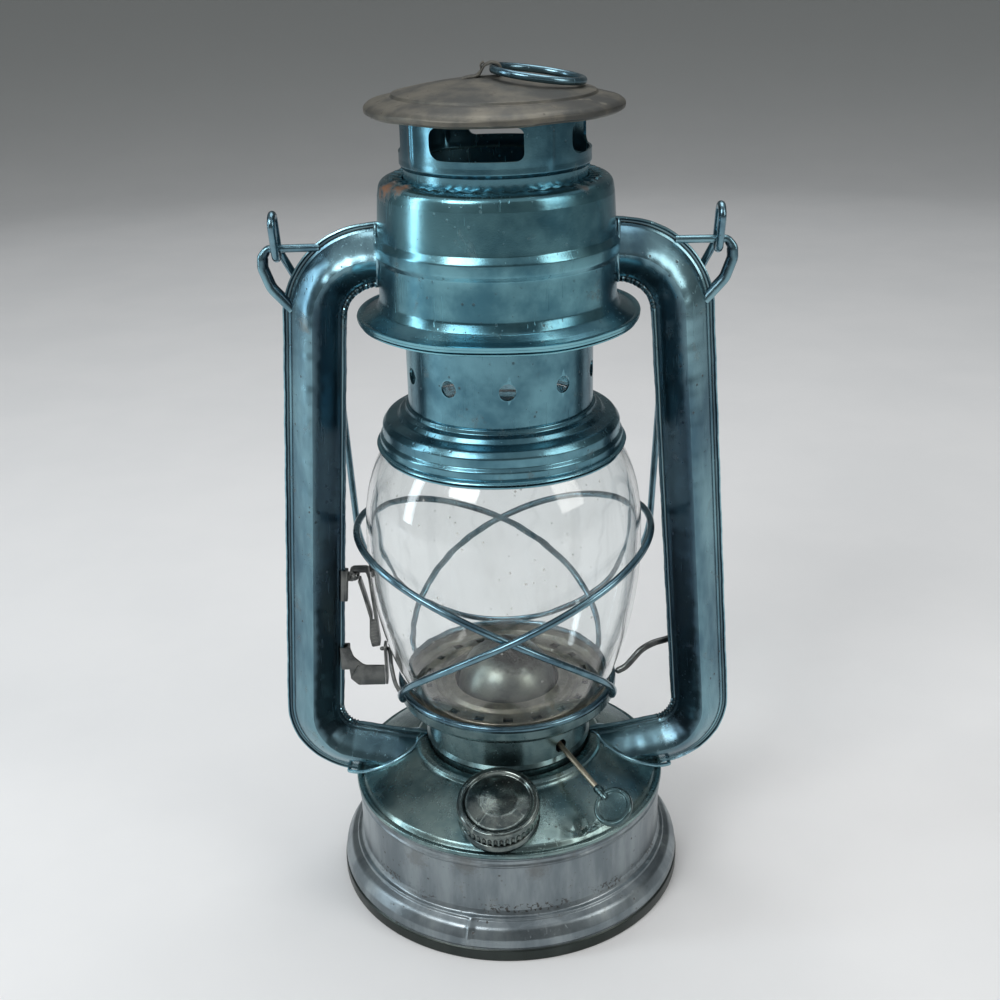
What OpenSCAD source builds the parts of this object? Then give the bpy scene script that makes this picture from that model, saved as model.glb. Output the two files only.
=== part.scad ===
// Small tubular hurricane lantern of tin plate with a barrel globe.
// Millimetres, +Z up. The origin is the centre of the foot, on the surface it stands on.
// The front, with the filler cap, faces -Y.

/* [Tank] */
// Radius of the foot's rolled edge
foot_r = 57.5; // [50:0.5:70]
// Height of the foot's rolled edge
foot_rim_h = 4.2; // [3:0.1:6]
// Radius of the flare above the rolled edge
flare_r = 7.8; // [5:0.1:9]
// Radius of the tank's wall
tank_r = 50.9; // [46:0.1:60]
// Height of the tank's wall
tank_h = 35.4; // [30:0.1:46]
// Height of the cone over the tank
cone_rise = 11.6; // [8:0.1:16]
// Thickness of the tin plate
sheet = 0.8; // [0.5:0.05:1.2]

/* [Burner] */
// Radius of the collar round the burner
collar_r = 26.5; // [22:0.1:30]
// Height of the collar above the cone
collar_rise = 14.1; // [11:0.1:17]
// Radius of the flame dome
dome_r = 16.2; // [13:0.1:18]
// Width of the wick
wick_w = 12.8; // [8:0.1:14]
// Thickness of the wick
wick_t = 1.6; // [1.2:0.1:2.2]
// Radius of the wick raiser's shaft
shaft_r = 0.9; // [0.7:0.05:1.2]
// Tip radius of the wick wheels
wheel_r = 2.6; // [2:0.1:3.2]
// Direction of the wick raiser, from the front towards +X
shaft_turn = 32; // [25:1:45]
// Droop of the wick raiser's shaft
shaft_droop = 13.5; // [8:0.5:15]
// Radius of the thumb disc
thumb_r = 6.2; // [5:0.1:8]

/* [Filler] */
// Radius of the filler neck
neck_r = 9.8; // [7:0.1:10.2]
// Reach of the filler cap past its neck
filler_cap_reach = 3.2; // [2.4:0.1:3.6]
// Lean of the filler neck
filler_lean = 20; // [15:1:24]

/* [Globe] */
// Largest radius of the globe
globe_r = 43.35; // [40:0.05:44]
// Height of the globe
globe_h = 96.1; // [90:0.1:104]
// Height of the globe's widest part above its foot
belly_h = 53.8; // [48:0.1:58]
// Thickness of the glass
glass = 1.8; // [1.4:0.1:2.4]
// Radius of the gallery's rim
gallery_r = 35.9; // [34:0.1:38]
// Thickness of the guard wire
wire_d = 2.3; // [1.8:0.1:2.6]

/* [Chimney] */
// Radius of the chimney tube
chimney_r = 28; // [25:0.1:29]
// Height of the chimney tube
chimney_h = 38.8; // [36:0.1:44]
// Number of air holes in the chimney tube
air_holes = 10; // [6:1:14]
// Diameter of an air hole
air_hole_d = 5; // [3:0.1:7]
// Reach of the cap's brim past the vent collar
brim_reach = 9.1; // [6:0.1:12]
// Height of the vent collar
vent_h = 19.3; // [17:0.1:22]

/* [Canopy] */
// Gap between the spring's seat and the canopy's wall
canopy_gap = 2.7; // [0.8:0.1:3.8]
// Height of the canopy, from its skirt to its top
canopy_h = 40.4; // [36:0.1:44]
// Reach of the canopy's skirt past its wall
skirt_reach = 7.1; // [3:0.1:8]

/* [Side tubes] */
// Radius of a side tube
tube_r = 7.6; // [6:0.1:8]
// Width of the seam on each side of a tube
seam_w = 2; // [1.6:0.1:2.6]
// Least gap between the guard wires and a tube's seam
tube_gap = 1.93; // [1:0.01:5]
// Least distance from the tank's wall out to the middle of a tube's foot
foot_reach = 13.32; // [10:0.02:18]
// How much farther out a tube is at its foot than beside the globe's belly
tube_splay = 4.44; // [2:0.02:6]
// Height of the lower bend's centre above the cone
bend_rise = 11.9; // [9:0.1:14]
// Radius of the bend at the bottom
low_bend_r = 15.7; // [13:0.1:17]
// Slope of the tube where it enters the cone
entry_slope = 14; // [8:1:20]

/* [Bail] */
// Distance from the pivot to the bail's far end
bail_l = 163; // [155:1:180]
// How far each leg of the bail stands in from its eye
bail_in = 13.2; // [10:0.1:16]
// Angle at which the bail hangs behind the lantern
bail_rest = 19; // [18:0.5:24]

/* [Hidden] */
$fn = 96;

tin = [0.60, 0.66, 0.68];
tin_dark = [0.40, 0.39, 0.36];
wire_grey = [0.36, 0.46, 0.50];
glass_clear = [0.86, 0.92, 0.93, 0.35];
burner_tin = [0.66, 0.66, 0.62];
cotton = [0.24, 0.21, 0.18];
cork = [0.62, 0.48, 0.32];

// Clearances
slip = 0.3;          // between pieces of different bodies
running = 0.06;      // round a pin that turns

// Heights that follow from the driving sizes
cone_top = tank_h + cone_rise;
cone_r = collar_r + 4;
shoulder = [tank_r - 1.4, tank_h + 3];
spring_r = chimney_r + 1.2;
seat_r = spring_r + 2.2;
canopy_r = seat_r + canopy_gap + sheet;
skirt_r = canopy_r + skirt_reach;
collar_top = cone_top + collar_rise + 0.5;
floor_z = collar_top + 4.6;
globe_top = floor_z + globe_h;
plate_z = globe_top - 9.3;
tube_foot = globe_top + 1.9;
chimney_foot = tube_foot + 1.2;
seat_z = tube_foot + chimney_h;
canopy_z = seat_z - 10;
canopy_top = canopy_z + canopy_h + 0.8;
neck_top = canopy_top + 3;
cap_foot = neck_top + vent_h - 1;
brim_z = cap_foot - 3.4;

// Line of a side tube's leg: it stands out as far as the globe's belly or the tank's wall needs
tube_half = tube_r + seam_w;
belly_z = floor_z + belly_h;
guard_off = 2.95;
guard_bulge = 0.8;
low_z = cone_top + bend_rise;
leg_at_belly = globe_r + guard_off + guard_bulge + wire_d / 2 + tube_gap + tube_half;
leg_at_foot = max(tank_r + foot_reach, leg_at_belly + tube_splay);
tube_lean = atan(tube_splay / (belly_z - low_z));
top_centre = [canopy_r + 0.4, canopy_z - 1];
low_centre = [leg_at_foot - low_bend_r / cos(tube_lean), low_z];
function leg_x(z) = leg_at_foot + (low_z - z) * tan(tube_lean);
top_bend_r = (leg_x(top_centre.y) - top_centre.x) * cos(tube_lean);

// Points of an arc, from one angle to another
function arc(centre, r, from, to, steps) =
    [for (i = [0 : steps]) let (a = from + (to - from) * i / steps) centre + r * [cos(a), sin(a)]];
function unit(v) = v / norm(v);
function left_of(v) = [-v.y, v.x];
function step_normal(path, i) = left_of(unit(path[i + 1] - path[i]));
// Direction that carries a path's point to the path's left, with its corners mitred
function mitre(path, i) =
    i == 0 ? step_normal(path, 0) :
    i == len(path) - 1 ? step_normal(path, i - 1) :
    let (a = step_normal(path, i - 1), b = step_normal(path, i)) (a + b) / (1 + a * b);
// Closed outline of a sheet: the path and its copy a thickness to the left. A point on the axis stays there.
function shifted(path, i, t) =
    let (q = path[i] + t * mitre(path, i)) [path[i].x == 0 ? 0 : q.x, q.y];
function band(path, t) = concat(path, [for (i = [len(path) - 1 : -1 : 0]) shifted(path, i, t)]);
// Outline of all that lies between a path and the axis
function to_axis(path) = concat([[0, path[0].y]], path, [[0, path[len(path) - 1].y]]);

module spun(path, t) {
    rotate_extrude() polygon(band(path, t));
}

module bead(r, z, wire) {
    rotate_extrude() translate([r, z]) circle(wire, $fn = 24);
}

// Points along a route whose corners are bent to a radius
function back_at(points, i) = unit(points[i - 1] - points[i]);
function on_at(points, i) = unit(points[i + 1] - points[i]);
function half_corner(points, i) = acos(back_at(points, i) * on_at(points, i)) / 2;
function corner(points, i, bend, steps) =
    let (
        half = half_corner(points, i),
        start = points[i] + bend / tan(half) * back_at(points, i),
        centre = points[i] + bend / sin(half) * unit(back_at(points, i) + on_at(points, i)),
        u = unit(start - centre),
        v = -back_at(points, i)
    )
    [for (k = [0 : steps]) let (q = (180 - 2 * half) * k / steps)
        centre + bend * (cos(q) * u + sin(q) * v)];
function route(points, bend, steps) =
    concat([points[0]], [for (i = [1 : len(points) - 2]) each corner(points, i, bend, steps)],
        [points[len(points) - 1]]);

// Outline swept along points. Its first axis is square to the route and to the direction "out"; its second
// axis follows that direction.
function ring_at(points, out, i, outline) =
    let (
        way = unit(points[min(i + 1, len(points) - 1)] - points[max(i - 1, 0)]),
        side = unit(cross(way, out[i])),
        up = cross(side, way)
    )
    [for (q = outline) points[i] + q.x * side + q.y * up];

// Solid through rings of an even number of points each
module skin(rings) {
    sides = len(rings[0]);
    last = (len(rings) - 1) * sides;
    cap = [for (i = [0 : sides / 2 - 2]) let (b = (sides - i) % sides)
        each [[b, i + 1, i + 2], [b, i + 2, sides - i - 1]]];
    polyhedron(
        points = [for (ring = rings) each ring],
        faces = concat(
            [for (f = cap) [f.z, f.y, f.x]],
            [for (f = cap) [last + f.x, last + f.y, last + f.z]],
            [for (i = [0 : len(rings) - 2], k = [0 : sides - 1]) let (n = (k + 1) % sides, here = i * sides)
                each [[here + k, here + n, here + sides + n], [here + k, here + sides + n, here + sides + k]]]));
}

module swept(points, out, outline) {
    skin([for (i = [0 : len(points) - 1]) ring_at(points, out, i, outline)]);
}

function wire_outline(r, sides) =
    [for (k = [0 : sides - 1]) let (q = 360 * (k + 0.5) / sides) r * [cos(q), sin(q)]];

// Wire along points, with one direction to set its sections by
module wire(points, r, out) {
    swept(points, [for (p = points) out], wire_outline(r, 8));
}

// Least distance between the wire's middle line and itself, more than half a turn away, less its thickness
function self_gap(points, per_turn, d) =
    min([for (i = [0 : len(points) - 1], j = [i + per_turn / 2 : len(points) - 1])
        norm(points[i] - points[j])]) - d;

// Tank
foot_in = foot_r - 1.5;
flare_centre = [foot_r - 0.2 - flare_r, foot_rim_h];
wall_foot = foot_rim_h + 10.3;
wall_path = concat(
    arc(flare_centre, flare_r, 0, 66, 8),
    [[tank_r + 0.5, wall_foot - 1.6], [tank_r, wall_foot], [tank_r, tank_h - 2.6],
     [tank_r + 0.4, tank_h - 1.9], [tank_r + 0.4, tank_h - 0.7], [tank_r, tank_h]]);

module tank_shell() {
    color(tin) union() {
        spun(wall_path, sheet);
        rotate_extrude() polygon([[foot_in, 0.5], [foot_in + 0.4, 0], [foot_r - 0.4, 0], [foot_r, 0.4],
            [foot_r, foot_rim_h - 0.5], [foot_r - 0.4, foot_rim_h + 0.2], [foot_in, foot_rim_h + 0.2]]);
    }
}

tank_in = tank_r - sheet;
bottom_z = wall_foot + 0.6;

module tank_bottom() {
    color(tin) rotate_extrude() polygon([[0, bottom_z + 2.4], [30, bottom_z + 1.6], [46, bottom_z],
        [tank_in, bottom_z], [tank_in, bottom_z + sheet], [46, bottom_z + sheet],
        [30, bottom_z + 1.6 + sheet], [0, bottom_z + 2.4 + sheet]]);
}

lid_z = tank_h - 2.4;
body_r = 11;

module tank_lid() {
    color(tin) difference() {
        translate([0, 0, lid_z]) cylinder(r = tank_in, h = sheet);
        translate([0, 0, lid_z - 1]) cylinder(r = body_r, h = sheet + 2);
        at_filler() cylinder(r = neck_r - sheet, h = 60, center = true);
    }
}

cover_path = [[tank_r, tank_h], [tank_r - 0.4, tank_h + 1.4], shoulder, [cone_r, cone_top],
    [cone_r - 1, cone_top + 0.9], [collar_r + 1, cone_top + 0.9], [collar_r, cone_top + 0.4]];

module chamber_cover() {
    color(tin) difference() {
        spun(cover_path, sheet);
        at_filler() cylinder(r = neck_r, h = 60, center = true);
        for (side = [0, 1]) mirror([side, 0, 0]) entry_bore();
    }
}

collar_foot = cone_top - 1.6;
collar_path = [[collar_r, collar_foot], [collar_r, cone_top + 2], [collar_r + 0.8, cone_top + 3.2],
    [collar_r, cone_top + 4.4], [collar_r, collar_top]];

module burner_collar() {
    color(tin) difference() {
        spun(collar_path, sheet);
        at_shaft() rotate([0, 90, 0]) cylinder(r = shaft_r + 1.3, h = collar_r + 5);
    }
}

// Filler, halfway down the cone: the frame's Z runs along the neck, from the cone's surface outwards
filler_turn = -5;
filler_at = (cone_r + shoulder.x) / 2;
filler_cap_r = neck_r + filler_cap_reach;
filler_z = cone_top - (filler_at - cone_r) * (cone_top - shoulder.y) / (shoulder.x - cone_r);
mouth_z = 4.6;
skirt_z = 2;
gasket_t = 1;

module at_filler() {
    rotate([0, 0, filler_turn]) translate([0, -filler_at, filler_z])
        rotate([filler_lean, 0, 0]) children();
}

module filler_neck() {
    color(tin) intersection() {
        at_filler() difference() {
            translate([0, 0, -20]) cylinder(r = neck_r, h = 20 + mouth_z);
            translate([0, 0, -21]) cylinder(r = neck_r - sheet, h = 22 + mouth_z);
        }
        translate([0, 0, lid_z + sheet]) cylinder(r = tank_r + 20, h = 40);
    }
}

module filler_cap() {
    bore = neck_r + 0.4;
    top = mouth_z + gasket_t + running;
    color(tin) at_filler() rotate_extrude() polygon(concat(
        [[0, top], [bore, top], [bore, skirt_z], [filler_cap_r - 0.3, skirt_z],
         [filler_cap_r, skirt_z + 0.4], [filler_cap_r, top + 0.9]],
        arc([filler_cap_r - 1, top + 1], 1, 10, 170, 6),
        [[filler_cap_r - 2.6, top + 1.1], [filler_cap_r - 6, top + 1.9], [0, top + 2.5]]));
}

module filler_gasket() {
    color(cork) at_filler() translate([0, 0, mouth_z]) cylinder(r = neck_r + 0.2, h = gasket_t);
}

// Burner
flange_z = lid_z + sheet;
body_top = flange_z + 20;
tube_w = wick_w + 2.2;
tube_t = wick_t + 2.8;
dome_z = floor_z + 0.2;
tube_top = dome_z + dome_r - 4.6;
wick_top = tube_top + 1.5;
// Height at which the shaft's line passes the axis, and its distance from it
shaft_z = cone_top + 14.1;
shaft_off = wick_t / 2 + wheel_r + 0.1;
thumb_at = 56;

module at_burner() {
    rotate([0, 0, shaft_turn - 90]) children();
}

// The frame's X runs along the shaft, outwards and down
module at_shaft() {
    at_burner() translate([0, shaft_off, shaft_z]) rotate([0, shaft_droop, 0]) children();
}

module burner_body() {
    color(burner_tin) difference() {
        union() {
            translate([0, 0, lid_z - 3]) cylinder(r = body_r, h = 3 + sheet);
            translate([0, 0, flange_z]) cylinder(r = body_r + 3, h = 2.2);
            translate([0, 0, flange_z + 2.2]) cylinder(r = body_r - 0.6, h = body_top - flange_z - 2.2);
        }
        at_burner() translate([-tube_w / 2, -tube_t / 2, lid_z - 4]) cube([tube_w, tube_t, 40]);
    }
}

module wick_tube() {
    wall = 0.6;
    color(burner_tin) at_burner() difference() {
        translate([-tube_w / 2, -tube_t / 2, lid_z - 3]) cube([tube_w, tube_t, tube_top - lid_z + 3]);
        translate([wall - tube_w / 2, wall - tube_t / 2, lid_z - 4])
            cube([tube_w - 2 * wall, tube_t - 2 * wall, tube_top]);
        translate([-5.4, 0, shaft_z - wheel_r - 1.6]) cube([10.8, tube_t, 2 * wheel_r + 3.2]);
    }
}

wick_foot = bottom_z + 2.4 + sheet + 10 + slip;

module wick() {
    color(cotton) at_burner() translate([-wick_w / 2, -wick_t / 2, wick_foot])
        cube([wick_w, wick_t, wick_top - wick_foot]);
}

dome_foot = body_top;
dome_path = concat(
    [[body_r - 0.6 + sheet, dome_foot], [body_r + 1.8, dome_foot + 4], [dome_r - 1, dome_z - 2]],
    arc([0, dome_z], dome_r, 0, 90, 12));

module burner_dome() {
    color(burner_tin) difference() {
        spun(dome_path, sheet);
        at_burner() translate([-9, -3, dome_z + 5]) cube([18, 6, dome_r]);
        at_shaft() rotate([0, 90, 0]) cylinder(r = shaft_r + 0.8, h = 2 * dome_r, $fn = 32);
    }
}

bearing_r = 2.2;
bearing_at = tube_w / 2 + bearing_r * sin(shaft_droop) + 0.1;
bearing_w = 2.4;
post_w = 1.6;

module shaft_bearing() {
    color(burner_tin) difference() {
        union() {
            at_shaft() translate([bearing_at, 0, 0]) rotate([0, 90, 0])
                cylinder(r = bearing_r, h = bearing_w);
            at_burner() translate([bearing_at, shaft_off - post_w / 2, body_top])
                cube([post_w, post_w, shaft_z - bearing_at * tan(shaft_droop) - body_top]);
        }
        at_shaft() rotate([0, 90, 0]) cylinder(r = shaft_r + running, h = 30);
    }
}

shaft_end = thumb_at - thumb_r + 1;

module wick_shaft() {
    start = -wheel_gap - wheel_t - 0.6;
    color(wire_grey) at_shaft() translate([start, 0, 0]) rotate([0, 90, 0])
        cylinder(r = shaft_r, h = shaft_end - start);
}

wheel_teeth = 8;
wheel_gap = 3.4;
wheel_t = 1.2;

module wick_wheels() {
    color(burner_tin) at_shaft() for (x = [-wheel_gap, wheel_gap])
        translate([x - wheel_t / 2, 0, 0]) rotate([0, 90, 0]) difference() {
            linear_extrude(wheel_t) polygon([for (i = [0 : 2 * wheel_teeth - 1])
                let (a = 180 * (i + 0.5) / wheel_teeth, r = i % 2 == 0 ? wheel_r : wheel_r - 0.7)
                r * [cos(a), sin(a)]]);
            translate([0, 0, -1]) cylinder(r = shaft_r, h = wheel_t + 2);
        }
}

thumb_roll = 36;

module thumb_disc() {
    color(tin) at_shaft() difference() {
        translate([thumb_at, 0, 0]) rotate([thumb_roll, 0, 0]) {
            translate([0, 0, -0.6]) cylinder(r = thumb_r, h = 1.2);
            for (z = [-0.6, 0.6]) translate([0, 0, z]) bead(thumb_r - 0.7, 0, 0.5);
            translate([-thumb_r - 1.4, 0, 0]) rotate([0, 90, 0]) cylinder(r = 1.5, h = 3.4, $fn = 32);
        }
        rotate([0, 90, 0]) cylinder(r = shaft_r, h = shaft_end);
    }
}

// Canopy
bead_z = canopy_z + 21;
crown_z = canopy_top - 0.8;
neck_outer = chimney_r - 1.7;
canopy_path = concat(
    [[skirt_r - 0.7, canopy_z + 0.6], [canopy_r + 0.7, canopy_z + 3], [canopy_r, canopy_z + 4.4],
     [canopy_r, bead_z - 2], [canopy_r + 0.6, bead_z - 1], [canopy_r + 0.9, bead_z],
     [canopy_r + 0.6, bead_z + 1], [canopy_r - 0.3, bead_z + 2.4], [canopy_r - 1, crown_z - 4]],
    arc([canopy_r - 4, crown_z - 3], 3, 10, 80, 4),
    [[neck_outer + 0.5, crown_z + 0.4]]);

module canopy() {
    color(tin) difference() {
        union() {
            spun(canopy_path, sheet);
            bead(skirt_r - 0.9, canopy_z, 0.9);
        }
        for (side = [0, 1]) mirror([side, 0, 0])
            translate([canopy_r - 8, 0, top_centre.y + top_bend_r]) rotate([0, 90, 0])
                cylinder(r = tube_r - sheet, h = 12);
    }
}

module canopy_floor() {
    color(tin) translate([0, 0, canopy_z + 4.8]) difference() {
        cylinder(r = canopy_r - sheet, h = sheet);
        translate([0, 0, -1]) cylinder(r = chimney_r + 0.5, h = sheet + 2);
    }
}

// Side tubes, drawn for +X
seam_t = 0.6;
arm_dir = [-cos(entry_slope), -sin(entry_slope)];
arm_start = low_centre + low_bend_r * [sin(entry_slope), -cos(entry_slope)];
arm_l = 32;

// Outline of one half: the first axis leaves the seam's plane, the second points out of the bends
tube_bore = tube_r - sheet;
seam_at = asin(seam_t / tube_r);
half_outline = concat(
    [[0, -tube_half], [seam_t, -tube_half]], arc([0, 0], tube_r, seam_at - 90, 90 - seam_at, 10),
    [[seam_t, tube_half], [0, tube_half]], arc([0, 0], tube_bore, 90, -90, 10));

// The tube's middle line between its straight ends, with the way out of its bends
bend_steps = 9;
function bend_angles(from, to) = [for (i = [0 : bend_steps]) from + (to - from) * i / bend_steps];
function in_plane(p) = [p.x, 0, p.y];
tube_angles = concat(bend_angles(90, tube_lean), bend_angles(tube_lean, entry_slope - 90));
tube_line = concat(
    [for (a = bend_angles(90, tube_lean)) top_centre + top_bend_r * [cos(a), sin(a)]],
    [for (a = bend_angles(tube_lean, entry_slope - 90)) low_centre + low_bend_r * [cos(a), sin(a)]]);

// A tube's end follows what it is soldered to: each point runs on until it meets the canopy, cone or collar
canopy_by_height = [for (p = canopy_path) [p.y, p.x]];
function met(p) = let (r = norm([p.x, p.y]))
    p.z > canopy_z ? r < lookup(p.z, canopy_by_height) : r < collar_r || p.z < lookup(r, cover_path);
function landing(clear, inside, steps) = let (p = (clear + inside) / 2)
    steps == 0 ? clear : met(p) ? landing(clear, p, steps - 1) : landing(p, inside, steps - 1);
function end_ring(ring, way) = [for (p = ring) landing(p, p + arm_l * way, 14)];
function square_ring(i) = let (a = tube_angles[i])
    [for (q = half_outline) in_plane(tube_line[i] + q.y * [cos(a), sin(a)]) + [0, -q.x, 0]];

// Straight bar in the tube's plane
module straight(start, dir, l) {
    translate(in_plane(start)) rotate([0, 90 - atan2(dir.y, dir.x), 0]) linear_extrude(l) children();
}

module entry_bore() {
    straight(arm_start, arm_dir, arm_l) circle(tube_bore, $fn = 64);
}

module tube_half_shell(side, face) {
    rings = [for (i = [0 : len(tube_line) - 1]) square_ring(i)];
    color(tin) mirror([side, 0, 0]) mirror([0, face, 0])
        skin(concat([end_ring(rings[0], [-1, 0, 0])], rings,
            [end_ring(rings[len(rings) - 1], in_plane(arm_dir))]));
}

module tube_left_front() { tube_half_shell(1, 0); }
module tube_left_back() { tube_half_shell(1, 1); }
module tube_right_front() { tube_half_shell(0, 0); }
module tube_right_back() { tube_half_shell(0, 1); }

// Ears
pivot_z = top_centre.y + 21.7;
ear_rod = 1.3;
ear_x = top_centre.x + top_bend_r + 9.7;
ear_points = [[ear_x - 2, pivot_z], [ear_x + 3.2, pivot_z], [ear_x + 5, pivot_z - 2],
    [ear_x + 5.2, pivot_z - 5], [ear_x + 3.2, pivot_z - 11.4], [ear_x - 2.4, pivot_z - 17.6]];

module ear(side) {
    color(tin) mirror([side, 0, 0]) difference() {
        union() {
            translate([ear_x - 14, 0, pivot_z]) rotate([0, 90, 0])
                cylinder(r = ear_rod, h = 16.4, $fn = 48);
            wire(route([for (p = ear_points) in_plane(p)], 1.6, 4), ear_rod - 0.04, [0, 1, 0]);
        }
        translate([top_centre.x, 10, top_centre.y]) rotate([90, 0, 0])
            cylinder(r = top_bend_r + tube_half, h = 20, $fn = 180);
    }
}

module ear_left() { ear(1); }
module ear_right() { ear(0); }

// Spring between the chimney's seat and the canopy's crown
spring_wire = 1.2;
spring_turns = 6;
// Enough rings a turn that the flats between them stay clear of the neck
spring_rings = 2 * ceil(90 / acos((neck_outer + spring_wire / 2) / spring_r));
spring_foot = seat_z + sheet + slip + spring_wire / 2;
spring_head = crown_z - sheet - spring_wire / 2;
spring_count = spring_turns * spring_rings;
spring_points = [for (i = [0 : spring_count]) let (a = 360 * i / spring_rings)
    [spring_r * cos(a), spring_r * sin(a), spring_foot + (spring_head - spring_foot) * i / spring_count]];
spring_out = [for (i = [0 : spring_count]) let (a = 360 * i / spring_rings) [cos(a), sin(a), 0]];
echo(spring_gap_mm = self_gap(spring_points, spring_rings, spring_wire));

module chimney_spring() {
    color(wire_grey) swept(spring_points, spring_out, wire_outline(spring_wire / 2, 6));
}

// Gallery
lip = 1;
bowl_r = gallery_r - 2.6;
gallery_rim = floor_z + 4.4;
gallery_path = [[dome_r + 1.2, floor_z + 3.6], [dome_r + 5.6, floor_z + 2.8], [dome_r + 6.6, floor_z],
    [bowl_r, floor_z], [bowl_r + 1, floor_z + 1.1], [bowl_r + 1.2, gallery_rim]];
hood_path = [[collar_r + 0.5, collar_top - 1], [collar_r + 0.5, collar_top + 0.4],
    [bowl_r - 1.5, floor_z - 0.3]];
grate_count = 14;

module gallery() {
    color(tin) difference() {
        union() {
            spun(gallery_path, -sheet);
            spun(hood_path, -sheet);
            bead(gallery_r - lip, gallery_rim, lip);
        }
        for (i = [0 : grate_count - 1]) rotate([0, 0, 360 * (i + 0.5) / grate_count])
            translate([dome_r + 9.2, -1.5, floor_z - 3]) cube([2.2, 3, 4]);
    }
}

// Globe: its outer radius is a power curve below and above the belly, with a straight neck on top
foot_glass_r = gallery_r - 4.6;
neck_glass_r = gallery_r - 2.5;
shoulder_z = globe_top - 6.3;
// How fast the glass widens at its foot, in the height of the belly
foot_slope = 25.305;
function low_glass(t) = globe_r - (globe_r - foot_glass_r) * pow(t, foot_slope / (globe_r - foot_glass_r));
function high_glass(t) = globe_r - (globe_r - neck_glass_r - 0.4) * pow(t, 2.78);
globe_path = concat(
    [for (i = [0 : 14]) let (t = 1 - i / 14) [low_glass(t), belly_z - belly_h * t]],
    [for (i = [1 : 11]) let (t = i / 11) [high_glass(t), belly_z + (shoulder_z - belly_z) * t]],
    [[neck_glass_r, shoulder_z + 1.5], [neck_glass_r, globe_top]]);

module globe() {
    color(glass_clear) spun(globe_path, glass);
}

// Guard wires: each climbs from the gallery's rim on one side to its highest point on the other
guard_reach = 155;
guard_top = belly_z + 5;
guard_steps = 40;
guard_side_r = globe_r + guard_off;
guard_rim_r = gallery_r + wire_d / 2;

// A guard wire's radius and height at an angle from its highest point
function guard_r(a, bulge) = let (t = abs(a) / guard_reach)
    guard_side_r + bulge * sin(a) * sin(a) * (1 - pow(t, 7)) - (guard_side_r - guard_rim_r) * pow(t, 7);
function guard_z(a) = guard_top - (guard_top - gallery_rim) * pow(a / guard_reach, 2);

module guard_wire(turn, bulge) {
    angles = [for (i = [0 : guard_steps]) guard_reach * (2 * i / guard_steps - 1)];
    color(wire_grey) swept(
        [for (a = angles) let (r = guard_r(a, bulge)) [r * cos(a + turn), r * sin(a + turn), guard_z(a)]],
        [for (a = angles) [cos(a + turn), sin(a + turn), 0.2]],
        wire_outline(wire_d / 2, 8));
}

module guard_wire_a() { guard_wire(0, guard_bulge); }
module guard_wire_b() { guard_wire(180, -1.6); }

// Guide wire, from the rim round the back of the right tube
guide_z = gallery_rim + 8.4;
guide_r = 1.25;
guide_back = tube_r + guide_r + slip;
guide_points = [[gallery_r + guide_r, 0, gallery_rim], [gallery_r + 5.6, 0.5, gallery_rim + 3.4],
    [gallery_r + 9, 1.5, guide_z - 1.6], [leg_x(guide_z) - tube_r - 3.6, 5, guide_z],
    [leg_x(guide_z) - 4, guide_back, guide_z], [leg_x(guide_z) + 6.4, guide_back, guide_z],
    [leg_x(guide_z) + 9, 4.6, guide_z]];

module guide_wire() {
    color(wire_grey) wire(route(guide_points, 1.6, 3), guide_r, [0, 0, 1]);
}

// Lift bracket: slides on the left tube's inner seam. The frame follows the leg; X points to the axis.
module at_left_leg(z) {
    translate([-leg_x(z), 0, z]) rotate([0, tube_lean, 0]) children();
}

bracket_z = guide_z - 1;
arm_foot = gallery_rim - 2.6;
tab_x = gallery_r + 3.4;
plate_out = 1.9;
plate_in = 1.1;
link_z = gallery_rim + 9.7;
link_r = 0.7;

module lift_bracket() {
    seam_x = leg_x(bracket_z) - tube_half;
    grip = seam_x + 1.2;
    web = seam_x - 1;
    module side_plate(outline, y) {
        translate([0, y, 0]) rotate([90, 0, 0]) linear_extrude(plate_out - plate_in) polygon(outline);
    }
    color(tin_dark) difference() {
        union() {
            side_plate([[-grip, bracket_z - 4], [-grip, bracket_z + 4], [-web + 1.2, bracket_z + 4],
                [-web + 2.4, bracket_z], [-web + 5, bracket_z - 2.4], [-tab_x - sheet, arm_foot + 7.2],
                [-tab_x - sheet, arm_foot], [-web + 3, arm_foot], [-web + 0.6, arm_foot + 2.6]],
                -plate_in);
            side_plate([[-grip, bracket_z - 4], [-grip, bracket_z + 4], [-web + sheet, bracket_z + 4],
                [-web + sheet, bracket_z - 4]], plate_out);
            translate([-web, -plate_out, bracket_z - 4]) cube([sheet, 2 * plate_out, 8]);
            translate([-tab_x - sheet, -plate_out, arm_foot])
                cube([sheet, plate_out + 3, link_z + 2.2 - arm_foot]);
        }
        translate([-tab_x - 2, 0.5, link_z]) rotate([0, 90, 0])
            cylinder(r = link_r + 0.2, h = 4, $fn = 32);
    }
}

link_turn = 18;
link_at = gallery_r + link_r;
link_x = tab_x - link_r - 0.5;
link_points = [[-link_at * cos(link_turn), -link_at * sin(link_turn), gallery_rim],
    [-link_x, -6, link_z - 2.4], [-link_x, 0.5, link_z], [-tab_x - 1.8, 0.5, link_z]];

module link_wire() {
    color(wire_grey) wire(route(link_points, 1.3, 3), link_r, [1, 0, 1]);
}

// Catch: a clip fixed on the seam, and a springy strip that hangs from its pin
clip_z = bracket_z + 27;
clip_h = 10.8;
pin_r = 0.9;
pin_x = tube_half + 2.6;
pin_up = 2.6;
strip_front = 1.6;
strip_back = 5.6;

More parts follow.
